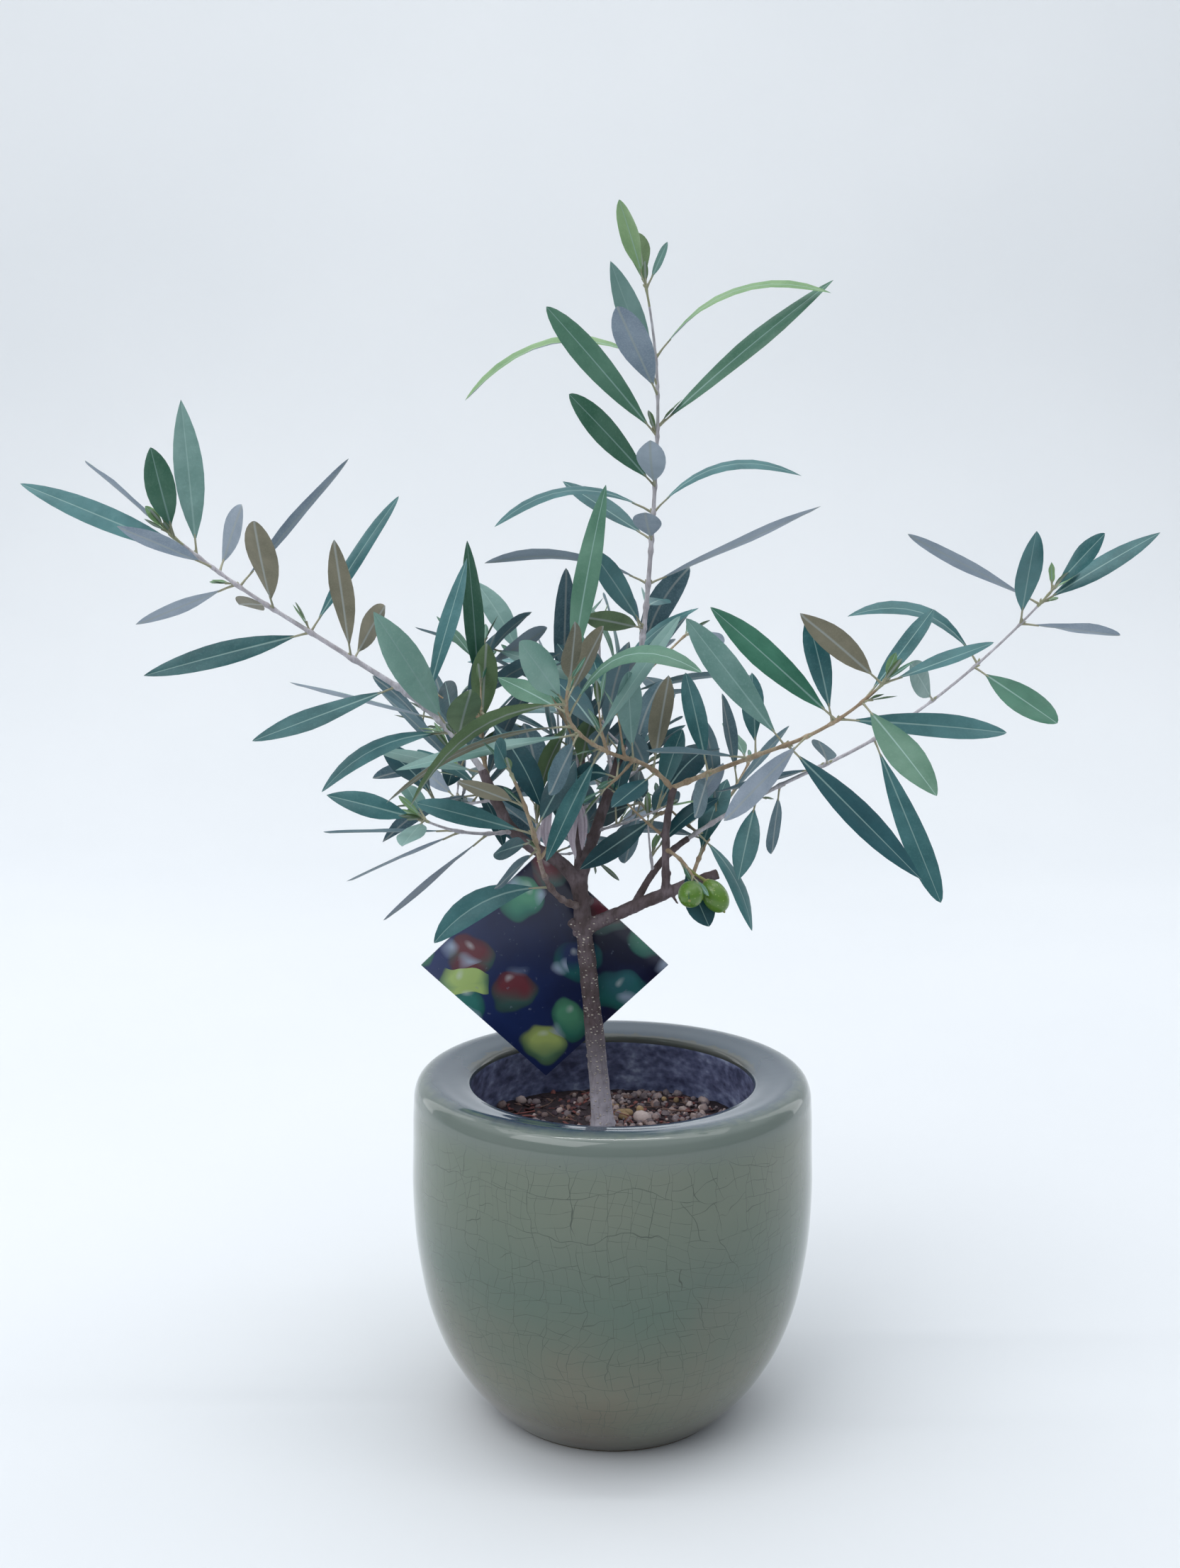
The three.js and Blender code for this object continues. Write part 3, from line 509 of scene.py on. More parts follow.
def leaf_frame(leaf, along):
    """Middle, direction, upper normal and side of a leaf at a share of its length."""
    bow = across(UP, leaf.way)
    lift = 4 * leaf.sag * along * (1 - along)
    slope = 4 * leaf.sag * (1 - 2 * along)
    middle = leaf.base + leaf.way * (leaf.length * along) + bow * (leaf.length * lift)
    way = unit(leaf.way + bow * slope)
    face = across(leaf.face, way)
    return middle, way, face, np.cross(way, face)


def new_leaf(stem, share, way, length, width, face, sag):
    return SimpleNamespace(stem=stem, owner=stem.owner, share=share, base=stem.point(share),
                           way=way, length=length, width=width, face=face, sag=sag, kind="named")


def named_leaf(stem, row, draw, attempt):
    share, bearing, rise, length, width, facing, *sag = row
    stray = 2.5 * attempt
    turned = bearing + stray * (draw() - 0.5)
    way = heading(turned, rise + stray * (draw() - 0.5))
    front = across(FRONT, way)
    edge = np.cross(way, front)
    lean = math.sqrt(1 - facing * facing) * (-1 if edge[2] < 0 else 1)
    face = front * facing + edge * lean
    return new_leaf(stem, share, way, length, width, face, sag[0] if sag else COMMON_SAG)


def ruled_leaf(stem, row, draw, attempt):
    share, turn, spread, length = row
    stem_way = stem.way(share)
    stray = 22 * attempt
    turned = turn + stray * (draw() - 0.5)
    way = branch_way(stem_way, turned, spread + stray * (draw() - 0.5))
    way = unit(way + UP * 0.18)
    face = across(stem_way + UP * 0.9, way)
    tilt = 0.8 * (draw() - 0.5)
    face = face * math.cos(tilt) + np.cross(way, face) * math.sin(tilt)
    width = 9.5 + 3.5 * draw()
    leaf = new_leaf(stem, share, way, length, width, face, 0.02 + 0.1 * draw())
    leaf.kind = "ruled"
    return leaf


def fine_leaf(stem, row, draw, attempt):
    """A leaf of a fine twig, which turns further aside to find room."""
    leaf = ruled_leaf(stem, row, draw, 2 * attempt)
    leaf.kind = "fine"
    return leaf


def fine_twig(stems, name, owner, carrier, at, reach, draw):
    """A short twig off a stem; the leaves that find room on it fill the crown."""
    way = branch_way(stems[carrier].way(at), 360 * draw(), 48 + 24 * draw())
    bearing, rise = bearing_and_rise(way)
    course = [(bearing, rise), (bearing, min(rise + 14, 88))]
    return Stem(name, stems, parent=carrier, at=min(at, 0.995), owner=owner, course=course,
                length=reach * (0.7 + 0.5 * draw()), radius=(0.75, 0.45))


def in_heart(entry):
    """True where an outline lies in the dense middle of the crown."""
    away = (entry.ends - HEART_MIDDLE) / HEART_REACH
    return (away * away).sum(axis=1).max() < 1


def shows(leaf):
    """False for a ruled leaf that would stand where the photo shows sky."""
    if leaf.kind != "ruled":
        return True
    middle = leaf_frame(leaf, 0.55)[0]
    across_share = (middle[0] - REAR_MIDDLE[0]) / REAR_REACH[0]
    up_share = (middle[2] - REAR_MIDDLE[1]) / REAR_REACH[1]
    beyond = leaf.owner in REAR_SPRAYS and math.hypot(across_share, up_share) > 1
    return leaf.owner not in OPEN_SPRAYS and not beyond


def trim_bare_ends(stems, leaves):
    """Ends each shoot of foliage at the last leaf or twig that shows on it."""
    for stem in stems.values():
        carried = [leaf for leaf in leaves if leaf.stem is stem]
        kept = [leaf.share for leaf in carried if shows(leaf)]
        kept += [twig.at for twig in stems.values() if twig.carrier == stem.name and twig.end > 0]
        if stem.owner in SPRAYS and len(kept) < len(carried):
            stem.end = min(1, max(kept) + 0.02) if kept else 0


def ruled_rows(pairs, size, draw):
    """Opposite pairs up a stem, each turned a quarter from the last, shorter toward the tip."""
    rows = []
    turn = 360 * draw()
    for pair in range(pairs):
        share = 0.12 + 0.88 * ((pair + 0.6) / pairs)
        turn += 90 + 24 * (draw() - 0.5)
        for opposite in (0, 180):
            spread = 66 - 30 * share + 16 * (draw() - 0.5)
            length = size * (1.08 - 0.36 * share * share) * (0.86 + 0.28 * draw())
            rows.append((min(share, 1), turn + opposite, spread, length))
    return rows


def segment_distances(a, b, c, d):
    """Distances between each segment a to b and each segment c to d."""
    u, v = (b - a)[:, None], (d - c)[None]
    w = a[:, None] - c[None]
    uu, uv, vv = (u * u).sum(-1), (u * v).sum(-1), (v * v).sum(-1)
    uw, vw = (u * w).sum(-1), (v * w).sum(-1)
    spread = uu * vv - uv * uv
    apart = spread > 1e-9
    s = np.where(apart, np.clip((uv * vw - vv * uw) / np.where(apart, spread, 1), 0, 1), 0)
    t = np.clip((uv * s + vw) / vv, 0, 1)
    s = np.clip((uv * t - uw) / uu, 0, 1)
    return np.linalg.norm(w + u * s[..., None] - v * t[..., None], axis=-1)


def outline(owner, lines, centre, reach, clearance=0.0):
    """The lines of a stem or leaf as segments, with the ball they lie in."""
    starts = np.concatenate([line[:-1] for line in lines])
    ends = np.concatenate([line[1:] for line in lines])
    return SimpleNamespace(owner=owner, starts=starts, ends=ends, centre=centre, reach=reach,
                           clearance=clearance)


def leaf_outline(leaf):
    lines = [[], [], []]
    for along, half in ((0.16, 0.25), (0.38, 1), (0.78, 0.84), (1, 0)):
        middle, _, _, side = leaf_frame(leaf, along)
        for line, edge in zip(lines, (-1, 0, 1)):
            line.append(middle + side * (edge * half * leaf.width / 2))
    return outline(leaf.owner, [np.array(line) for line in lines], lines[1][2], leaf.length * 0.62)


def clear_of(entry, other, clearance):
    gap = other.centre - entry.centre
    if math.sqrt(gap @ gap) >= entry.reach + other.reach + clearance:
        return True
    distances = segment_distances(entry.starts, entry.ends, other.starts, other.ends)
    return distances.min() >= clearance


@functools.cache
def grow_tree():
    """Stems and settled leaves: a leaf that would touch something is turned aside, or left out."""
    stems = {}
    for name, row in {**LIMBS, **SPRAYS}.items():
        Stem(name, stems, **row)
    add_side_twigs(stems)
    obstacles = []
    for stem in stems.values():
        line = stem.points[::3]
        clearance = LEAF_CLEARANCE + (stem.radius[0] + stem.radius[1]) / 2
        obstacles.append(outline(stem.owner, [line], line[4], stem.length / 2 + 1, clearance))
    settled = []
    leaves = []

    def fits(entry):
        if entry.kind == "fine" and not in_heart(entry):
            return False
        for stem in obstacles:
            if stem.owner != entry.owner and not clear_of(entry, stem, stem.clearance):
                return False
        for other in settled:
            apart = SAME_SPRAY_CLEARANCE if other.owner == entry.owner else LEAF_CLEARANCE
            if not clear_of(entry, other, apart):
                return False
        return True

    def place(stem, row, draw, make, tries):
        for attempt in range(tries):
            leaf = make(stem, row, draw, attempt)
            entry = leaf_outline(leaf)
            entry.kind = leaf.kind
            if fits(entry):
                settled.append(entry)
                leaf.number = len(leaves)
                leaves.append(leaf)
                return

    for name, row in SPRAYS.items():
        draw = seeded(row["seed"] * NAMED_RUN)
        for leaf_row in row.get("leaves", []):
            place(stems[name], leaf_row, draw, named_leaf, NAMED_TRIES)
    for name, row in SPRAYS.items():
        draw = seeded(row["seed"] * RULED_RUN)
        for stem in [stem for stem in stems.values() if stem.owner == name]:
            own = stem.name == name
            pairs, size = (row["pairs"], row["size"]) if own else (2, row["size"] * 0.72)
            for leaf_row in ruled_rows(pairs, size, draw):
                place(stem, leaf_row, draw, ruled_leaf, RULE_TRIES)
    for k, (owner, carrier, first, last, count, reach) in enumerate(FINE_TWIGS):
        draw = seeded((k + 1) * FINE_RUN)
        for number in range(count):
            at = first + (last - first) * ((number + draw()) / count)
            twig = fine_twig(stems, f"{owner}_fine_{k}_{number}", owner, carrier, at, reach, draw)
            for leaf_row in ruled_rows(3, FINE_LEAF_LENGTH, draw):
                place(twig, leaf_row, draw, fine_leaf, FINE_TRIES)
            if not any(leaf.stem is twig for leaf in leaves):
                del stems[twig.name]
    for name, row in STUBS.items():
        Stem(name, stems, **row)
    for _ in range(2):
        trim_bare_ends(stems, leaves)
    return stems, [leaf for leaf in leaves if shows(leaf)]


# Shapes

class Parts:
    """Points and faces of many small shapes that become one mesh, each face with a finish."""

    def __init__(self):
        self.points = []
        self.faces = []
        self.finishes = []
        self.places = []
        self.shades = []
        self.count = 0

    def join(self, points, faces, finish, places=None, shade=0.5):
        """Adds a shape; finish is one name, or one for each face."""
        self.points.append(points)
        self.faces.extend([corner + self.count for corner in face] for face in faces)
        self.finishes.extend([finish] * len(faces) if isinstance(finish, str) else finish)
        self.places.append(np.zeros((len(points), 2)) if places is None else places)
        self.shades.append(np.full(len(points), shade))
        self.count += len(points)


def sweep(path, radii, sides):
    """Points and faces of a closed tube along a path."""
    ways = np.gradient(path, axis=0)
    ways /= np.linalg.norm(ways, axis=1)[:, None]
    side = across(FRONT if abs(ways[0][2]) > 0.7 else UP, ways[0])
    turns = np.arange(sides)[:, None] * (2 * math.pi / sides)
    rings = []
    for middle, way, radius in zip(path, ways, radii):
        side = across(side, way)
        other = np.cross(way, side)
        rings.append(middle + (side * np.cos(turns) + other * np.sin(turns)) * radius)
    return np.concatenate(rings), ring_faces(len(path), sides)


def ring_faces(rings, sides):
    """Faces between rings of points that run one way round, and a face over each end."""
    faces = []
    for start in range(0, (rings - 1) * sides, sides):
        for k in range(sides):
            a, b = start + k, start + (k + 1) % sides
            faces.append((a, b, b + sides, a + sides))
    faces.append(tuple(reversed(range(sides))))
    faces.append(tuple(range((rings - 1) * sides, rings * sides)))
    return faces


def finer(stem, spacing):
    """Shares, points and radii of a stem at an even spacing."""
    shares = np.linspace(0, stem.end, max(3, round(stem.end * stem.length / spacing) + 1))
    points = np.array([stem.point(share) for share in shares])
    radii = np.array([stem.radius_at(share / stem.end) for share in shares])
    return shares, points, radii


@functools.cache
def pebble():
    """A cube whose faces are parted in four and blown up into a ball: 26 points, 24 faces."""
    steps = (-1, 0, 1)
    corners = [(x, y, z) for x in steps for y in steps for z in steps if (x, y, z) != (0, 0, 0)]
    index = {corner: k for k, corner in enumerate(corners)}
    faces = []
    for axis in range(3):
        for level in (-1, 1):
            for p in (-1, 0):
                for q in (-1, 0):
                    ring = [(p, q), (p + 1, q), (p + 1, q + 1), (p, q + 1)]
                    corner = [list(pair) for pair in ring]
                    for pair in corner:
                        pair.insert(axis, level)
                    face = [index[tuple(pair)] for pair in corner]
                    flip = (level == 1) == (axis == 1)
                    faces.append(tuple(reversed(face)) if flip else tuple(face))
    points = np.array(corners, float)
    return points / np.linalg.norm(points, axis=1)[:, None], faces


def turned_by(draw, flatness=1.0):
    """A random turn as a matrix; flatness under 1 keeps a shape's long sides near level."""
    tilt = (draw() - 0.5) * math.pi * flatness
    roll = (draw() - 0.5) * math.pi * flatness
    return np.array(Euler((tilt, roll, draw() * 2 * math.pi)).to_matrix())


def select_only(obj):
    bpy.ops.object.select_all(action="DESELECT")
    obj.select_set(True)
    bpy.context.view_layer.objects.active = obj


def mesh_object(name, points, faces):
    """A mesh in metres from points in millimetres."""
    if not len(faces):
        raise RuntimeError(f"{name} has no faces")
    mesh = bpy.data.meshes.new(name)
    mesh.from_pydata((np.asarray(points) * MM).tolist(), [], faces)
    mesh.validate()
    obj = bpy.data.objects.new(name, mesh)
    bpy.context.scene.collection.objects.link(obj)
    return obj


def piece_from(name, parts, finishes):
    """One joined mesh with a material for each finish, smooth but for its sharp edges."""
    obj = mesh_object(name, np.concatenate(parts.points), parts.faces)
    mesh = obj.data
    used = sorted(set(parts.finishes))
    for finish in used:
        mesh.materials.append(finishes[finish])
    mesh.polygons.foreach_set("material_index", [used.index(finish) for finish in parts.finishes])
    corners = np.zeros(len(mesh.loops), int)
    mesh.loops.foreach_get("vertex_index", corners)
    places = np.concatenate(parts.places)[corners]
    mesh.uv_layers.new(name="blade").data.foreach_set("uv", places.ravel())
    shades = mesh.attributes.new("shade", "FLOAT", "POINT")
    shades.data.foreach_set("value", np.concatenate(parts.shades))
    select_only(obj)
    bpy.ops.object.shade_smooth_by_angle(angle=math.radians(62))
    return obj


def settle_piece(obj, slot, *nodes):
    """The piece rides on the body and stands for its solids, which it hides; slot is not used."""
    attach(obj, "root")
    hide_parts(*nodes)


def apply_modifier(obj, kind, **settings):
    select_only(obj)
    modifier = obj.modifiers.new(kind.lower(), kind)
    for name, value in settings.items():
        setattr(modifier, name, value)
    bpy.ops.object.modifier_apply(modifier=modifier.name)


def edit_all(*steps):
    """Runs mesh operators, each with its settings, on the whole of the active mesh."""
    bpy.ops.object.mode_set(mode="EDIT")
    for step, settings in steps:
        bpy.ops.mesh.select_all(action="SELECT")
        step(**settings)
    bpy.ops.object.mode_set(mode="OBJECT")


def drawn_line(name, points, resolution):
    """A smooth line through points of [x, y, z, handle], as a mesh."""
    curve = bpy.data.curves.new(name, "CURVE")
    curve.dimensions = "3D"
    curve.resolution_u = resolution
    spline = curve.splines.new("BEZIER")
    spline.bezier_points.add(len(points) - 1)
    for point, (x, y, z, handle) in zip(spline.bezier_points, points):
        point.co = (x * MM, y * MM, z * MM)
        point.handle_left_type = handle
        point.handle_right_type = handle
    obj = bpy.data.objects.new(name, curve)
    bpy.context.scene.collection.objects.link(obj)
    select_only(obj)
    bpy.ops.object.convert(target="MESH")
    return bpy.context.object


def spun(name, profile, steps, resolution):
    """A profile of [radius, height, handle] turned about the pot's axis into a closed shell."""
    points = [(radius, 0, height, handle) for radius, height, handle in profile]
    obj = drawn_line(name, points, resolution)
    turn = dict(steps=steps, angle=2 * math.pi, center=(0, 0, 0), axis=(0, 0, 1))
    edit_all((bpy.ops.mesh.spin, turn), (bpy.ops.mesh.remove_doubles, {"threshold": 0.00002}),
             (bpy.ops.mesh.normals_make_consistent, {"inside": False}))
    return obj


# Leaves

LEAF_STATIONS = (0, 0.06, 0.14, 0.24, 0.35, 0.46, 0.57, 0.68, 0.78, 0.87, 0.94, 0.98, 1)
TOP_SHARES = (-1, -0.55, 0, 0, 0.55, 1)
UNDER_SHARES = (0.55, 0, -0.55)
RIB_SIDES = {2: -1, 3: 1}
RIB_HALF_WIDTH = 0.35
RIB_DEPTH = 0.1
KEEL = 1.9
UV_WIDTH = 40


def blade(parts, leaf, shape, top, under):
    """A leaf blade on its stalk, folded at the midrib, with rolled edges and a keel beneath."""
    neck = min(shape.stalk / leaf.length, 0.25)
    rise, fall = shape.rise, shape.fall
    peak = rise / (rise + fall)
    widest = peak ** rise * (1 - peak) ** fall
    points, places = [], []
    for station in LEAF_STATIONS:
        along = neck + (1 - neck) * station
        middle, _, face, side = leaf_frame(leaf, along)
        twist = shape.twist * (station - 0.3)
        face, side = (face * math.cos(twist) + side * math.sin(twist),
                      side * math.cos(twist) - face * math.sin(twist))
        middle = middle + side * (shape.bend * leaf.length * station ** 2)
        middle = middle - face * (shape.droop * leaf.length * station ** 2)
        half = leaf.width / 2 * station ** rise * (1 - station) ** fall / widest
        half = max(half, 0.5 - 0.42 * station)
        thick = shape.thickness * min(1, half / 1.6)
        rib = min(RIB_HALF_WIDTH, half * 0.3)
        ring = []
        swing = shape.wave * math.sin(math.pi * station)
        for k, share in enumerate((*TOP_SHARES, *UNDER_SHARES)):
            out = share * half
            lift = abs(out) * math.sin(shape.fold) - half * shape.roll * abs(share) ** 3
            lift += swing * abs(share) * math.sin(shape.ripple * station + shape.phase + share)
            if k in RIB_SIDES:
                out, lift = rib * RIB_SIDES[k], lift - RIB_DEPTH
            if k >= len(TOP_SHARES):
                lift -= thick * (1 if share else KEEL)
            ring.append((out * math.cos(shape.fold), lift))
        for out, lift in ring:
            points.append(middle + side * out + face * lift)
            places.append((station, 0.5 + out / UV_WIDTH))
    sides = len(TOP_SHARES) + len(UNDER_SHARES)
    faces = ring_faces(len(LEAF_STATIONS), sides)
    tops = len(TOP_SHARES) - 1
    finishes = ([top] * tops + [under] * (sides - tops)) * (len(LEAF_STATIONS) - 1) + [under] * 2
    parts.join(np.array(points), faces, finishes, np.array(places), shape.shade)
    stalk_end, _, face, _ = leaf_frame(leaf, neck + 1.6 / leaf.length)
    knee = leaf_frame(leaf, neck * 0.55)[0]
    stalk = np.array([leaf.base, knee, stalk_end - face * 0.3])
    parts.join(*sweep(stalk, (shape.foot, shape.foot * 0.72, 0.4), 6), "stalk", shade=shape.shade)


def leaf_shape(draw, small=False):
    """The fold, roll, twist and outline of one leaf."""
    return SimpleNamespace(
        stalk=2 if small else 6.8, foot=0.4 if small else 0.62,
        rise=0.86 + 0.3 * draw(), fall=0.64 + 0.32 * draw(), fold=0.08 + 0.2 * draw(),
        roll=0.1 + 0.16 * draw(), twist=0.8 * (draw() - 0.5), bend=0.06 * (draw() - 0.5),
        droop=0.04 * draw(), thickness=0.3 if small else 0.4, shade=draw(),
        wave=0.1 if small else 0.15 + 0.3 * draw(), phase=6 * draw(), ripple=5 + 6 * draw(),
    )


def small_leaf(parts, stem_way, base, way, length, width, draw, top, under):
    face = across(stem_way + UP * 0.3, way)
    leaf = SimpleNamespace(base=base, way=way, length=length, width=width, face=face, sag=0.02)
    blade(parts, leaf, leaf_shape(draw, small=True), top, under)


# Materials

def per_mm(size):
    """Texture scale at which a pattern's cells are a size in millimetres."""
    return 1000 / size


def feed(tree, node, inputs):
    """Sets a node's inputs, by name or in order, to values, colours, nodes or their outputs."""
    for key, value in inputs.items() if isinstance(inputs, dict) else enumerate(inputs):
        named = [socket for socket in node.inputs if socket.enabled and socket.name == key]
        socket = named[0] if named else node.inputs[key]
        if isinstance(value, str):
            value = (*linear(value), 1)
        if isinstance(value, Color):
            value = (*value, 1)
        if isinstance(value, bpy.types.Node):
            value = next(output for output in value.outputs if output.enabled)
        if isinstance(value, bpy.types.NodeSocket):
            tree.links.new(value, socket)
        else:
            socket.default_value = value


def add(tree, kind, inputs=(), stops=(), **settings):
    """Adds a node with its settings, the stops of its ramp, and its inputs. A range is given as
    value, start, end and what these two become. A mix blends colours unless told otherwise."""
    node = tree.nodes.new("ShaderNode" + kind)
    if kind == "Mix":
        node.data_type = "RGBA"
    for name, value in settings.items():
        setattr(node, name, value)
    for k, (place, colour) in enumerate(stops):
        if k > 1:
            node.color_ramp.elements.new(place)
        node.color_ramp.elements[k].position = place
        node.color_ramp.elements[k].color = (*linear(colour), 1)
    feed(tree, node, inputs)
    return node


def new_material(name, uv_map=None):
    """A material, its node tree, its shader and the place that its patterns follow."""
    material = bpy.data.materials.new(name)
    material.use_nodes = True
    tree = material.node_tree
    if uv_map:
        place = add(tree, "UVMap", uv_map=uv_map).outputs[0]
    else:
        place = add(tree, "TexCoord").outputs["Object"]
    return material, tree, tree.nodes["Principled BSDF"], place


def leaf_tone(tree, place, colours, sizes, by_cloud, by_leaf, start, dust_start, dust_most):
    """Tone of a leaf, clouded and dusted with a lighter one; also the fine grain, and how far
    along the blade and out from its midrib a point lies."""
    colour, light = colours
    cloud_size, grain_size = sizes
    blade_map = add(tree, "SeparateXYZ", [add(tree, "UVMap", uv_map="blade")])
    shade = add(tree, "Attribute", attribute_name="shade").outputs["Fac"]
    cloud = add(tree, "TexNoise", {"Vector": place, "Scale": per_mm(cloud_size), "Detail": 3.0})
    grain = add(tree, "TexNoise", {"Vector": place, "Scale": per_mm(grain_size), "Detail": 2.0})
    spread = add(tree, "Math", [shade, by_leaf], operation="MULTIPLY")
    mixed = add(tree, "Math", [cloud, by_cloud, spread], operation="MULTIPLY_ADD")
    amount = add(tree, "MapRange", [mixed, start, 1.0])
    tone = add(tree, "Mix", {"Factor": amount, "A": colour, "B": light})
    dust = add(tree, "MapRange", [grain, dust_start, 0.8, 0.0, dust_most])
    dusty = add(tree, "Mix", {"Factor": dust, "A": tone, "B": light})
    offset = add(tree, "Math", [blade_map.outputs[1], 0.5], operation="SUBTRACT")
    out = add(tree, "Math", [offset], operation="ABSOLUTE")
    return dusty, grain, blade_map.outputs[0], out


def leaf_top(name, colour, light, rib):
    """Leathery upper side of a leaf: a waxed satin that shows the pale midrib and fine grain."""
    material, tree, shader, place = new_material(name)
    dusty, grain, along, out = leaf_tone(
        tree, place, (colour, light), sizes=(14, 0.9), by_cloud=0.75, by_leaf=0.42, start=0.35,
        dust_start=0.52, dust_most=0.35)
    narrow = add(tree, "MapRange", [along, 0.0, 1.0, 0.42 / UV_WIDTH, 0.12 / UV_WIDTH])
    ratio = add(tree, "Math", [out, narrow], operation="DIVIDE")
    on_rib = add(tree, "MapRange", [ratio, 0.6, 1.25, 0.62, 0.0])
    finished = add(tree, "Mix", {"Factor": on_rib, "A": dusty, "B": rib})
    rough = add(tree, "MapRange", [grain, 0.0, 1.0, 0.36, 0.52])
    swell = add(tree, "TexNoise", {"Vector": place, "Scale": per_mm(5), "Detail": 2.0})
    uneven = add(tree, "Bump", {"Height": swell, "Strength": 0.35, "Distance": 0.0012})
    bump = add(tree, "Bump", {"Height": grain, "Strength": 0.25, "Distance": 0.0002,
                              "Normal": uneven})
    feed(tree, shader, {"Base Color": finished, "Roughness": rough, "Normal": bump,
                        "Specular IOR Level": 0.36, "Coat Weight": 0.06, "Coat Roughness": 0.25})
    return material


def leaf_under(name, colour, light, rib):
    """Felted underside of a leaf: a dry matt of tiny silver scales over a raised midrib."""
    material, tree, shader, place = new_material(name)
    dusty, scales, _, out = leaf_tone(
        tree, place, (colour, light), sizes=(9, 0.7), by_cloud=0.7, by_leaf=0.45, start=0.3,
        dust_start=0.45, dust_most=0.45)
    on_rib = add(tree, "MapRange", [out, 0.25 / UV_WIDTH, 0.65 / UV_WIDTH, 0.65, 0.0])
    finished = add(tree, "Mix", {"Factor": on_rib, "A": dusty, "B": rib})
    bump = add(tree, "Bump", {"Height": scales, "Strength": 0.3, "Distance": 0.0002})
    feed(tree, shader, {"Base Color": finished, "Roughness": 0.66, "Normal": bump,
                        "Specular IOR Level": 0.25, "Sheen Weight": 0.08, "Sheen Roughness": 0.4})
    return material


def green_stalk(name, colour, light):
    """Smooth green skin of leaf stalks and new growth, with a soft shine."""
    material, tree, shader, place = new_material(name)
    cloud = add(tree, "TexNoise", {"Vector": place, "Scale": per_mm(5), "Detail": 3.0})
    tone = add(tree, "Mix", {"Factor": cloud, "A": colour, "B": light})
    grain = add(tree, "TexNoise", {"Vector": place, "Scale": per_mm(0.6)})
    bump = add(tree, "Bump", {"Height": grain, "Strength": 0.2, "Distance": 0.0001})
    feed(tree, shader, {"Base Color": tone, "Roughness": 0.5, "Normal": bump})
    return material


def bark(name, base, dark, pale, spot, fissure=6.0, relief=0.0005, low=None):
    """Thin bark grown on living wood: long grain, fine cracks and pale corky pores. Given a low
    colour, it pales toward the foot, partly its own tone and partly painted light against the shade
    inside the pot's rim.
    """
    material, tree, shader, place = new_material(name)
    stretched = add(tree, "Mapping", {"Vector": place, "Scale": (1.0, 1.0, 0.3)})
    flat = add(tree, "Mapping", {"Vector": place, "Scale": (1.0, 1.0, 1.7)})
    cloud = add(tree, "TexNoise", {"Vector": place, "Scale": per_mm(fissure * 1.6), "Detail": 4.0})
    grain = add(tree, "TexNoise", {"Vector": stretched, "Scale": per_mm(fissure * 0.28),
                                   "Detail": 5.0, "Roughness": 0.65})
    pores = add(tree, "TexVoronoi", {"Vector": flat, "Scale": per_mm(spot * 3.1),
                                     "Randomness": 1.0})
    height = add(tree, "SeparateXYZ", [place]).outputs[2]
    patch = add(tree, "MapRange", [cloud, 0.42, 0.66])
    tone = add(tree, "Mix", {"Factor": patch, "A": base, "B": pale})
    crack = add(tree, "MapRange", [grain, 0.36, 0.54, 0.5, 0.0])
    lined = add(tree, "Mix", {"Factor": crack, "A": tone, "B": dark})
    if low:
        # Low down the bark pales: partly its own paler tone at the foot, partly painted light that
        # makes up for the shade inside the pot's rim
        near = add(tree, "MapRange", [height, 0.13, 0.166, 1.0, 0.0])
        streak = add(tree, "MapRange", [grain, 0.3, 0.5, 0.62, 0.95])
        painted_low_light = add(tree, "Math", [near, streak], operation="MULTIPLY")
        lined = add(tree, "Mix", {"Factor": painted_low_light, "A": lined, "B": low})
    chosen = add(tree, "SeparateColor", [pores.outputs["Color"]])
    fewer = add(tree, "MapRange", [height, 0.204, 0.215, 0.0, 0.92])
    left = add(tree, "Math", [chosen.outputs[0], fewer], operation="SUBTRACT")
    rare = add(tree, "MapRange", [left, 0.14, 0.2])
    dot = add(tree, "MapRange", [pores.outputs["Distance"], 0.19, 0.31, 1.0, 0.0])
    pore = add(tree, "Math", [rare, dot], operation="MULTIPLY")
    finished = add(tree, "Mix", {"Factor": pore, "A": lined, "B": "#d8cfc2"})
    height_map = add(tree, "Math", [pore, 0.8, grain], operation="MULTIPLY_ADD")
    bump = add(tree, "Bump", {"Height": height_map, "Strength": 0.8, "Distance": relief})
    feed(tree, shader, {"Base Color": finished, "Roughness": 0.78, "Normal": bump,
                        "Specular IOR Level": 0.3})
    return material


def crackle_net(tree, place, along, beside, offset):
    """Long cracks one way, joined by short ones the other way, that wander and come and go."""
    grid = add(tree, "CombineXYZ", [along, beside])
    slow = add(tree, "TexNoise", {"Vector": place, "Scale": per_mm(42), "Detail": 0.0, "W": offset},
               noise_dimensions="4D")
    quick = add(tree, "TexNoise", {"Vector": place, "Scale": per_mm(9), "Detail": 1.0, "W": offset},
                noise_dimensions="4D")
    sway = add(tree, "VectorMath", [slow.outputs["Color"], (3.6, 3.6, 0.0)], operation="MULTIPLY")
    shake = add(tree, "VectorMath", [quick.outputs["Color"], (0.5, 0.5, 0.0)], operation="MULTIPLY")
    moved = add(tree, "VectorMath", [grid, sway], operation="ADD")
    moved = add(tree, "VectorMath", [moved, shake], operation="ADD")
    bricks = add(tree, "TexBrick", {"Vector": moved, "Scale": 1.0, "Mortar Size": 0.0145,
                                    "Mortar Smooth": 1.0, "Brick Width": 0.8, "Row Height": 1.25})
    reach = add(tree, "TexNoise", {"Vector": place, "Scale": per_mm(13), "Detail": 2.0,
                                   "W": offset + 3}, noise_dimensions="4D")
    shown = add(tree, "MapRange", [reach, 0.36, 0.5])
    return add(tree, "Math", [bricks.outputs["Fac"], shown], operation="MULTIPLY")


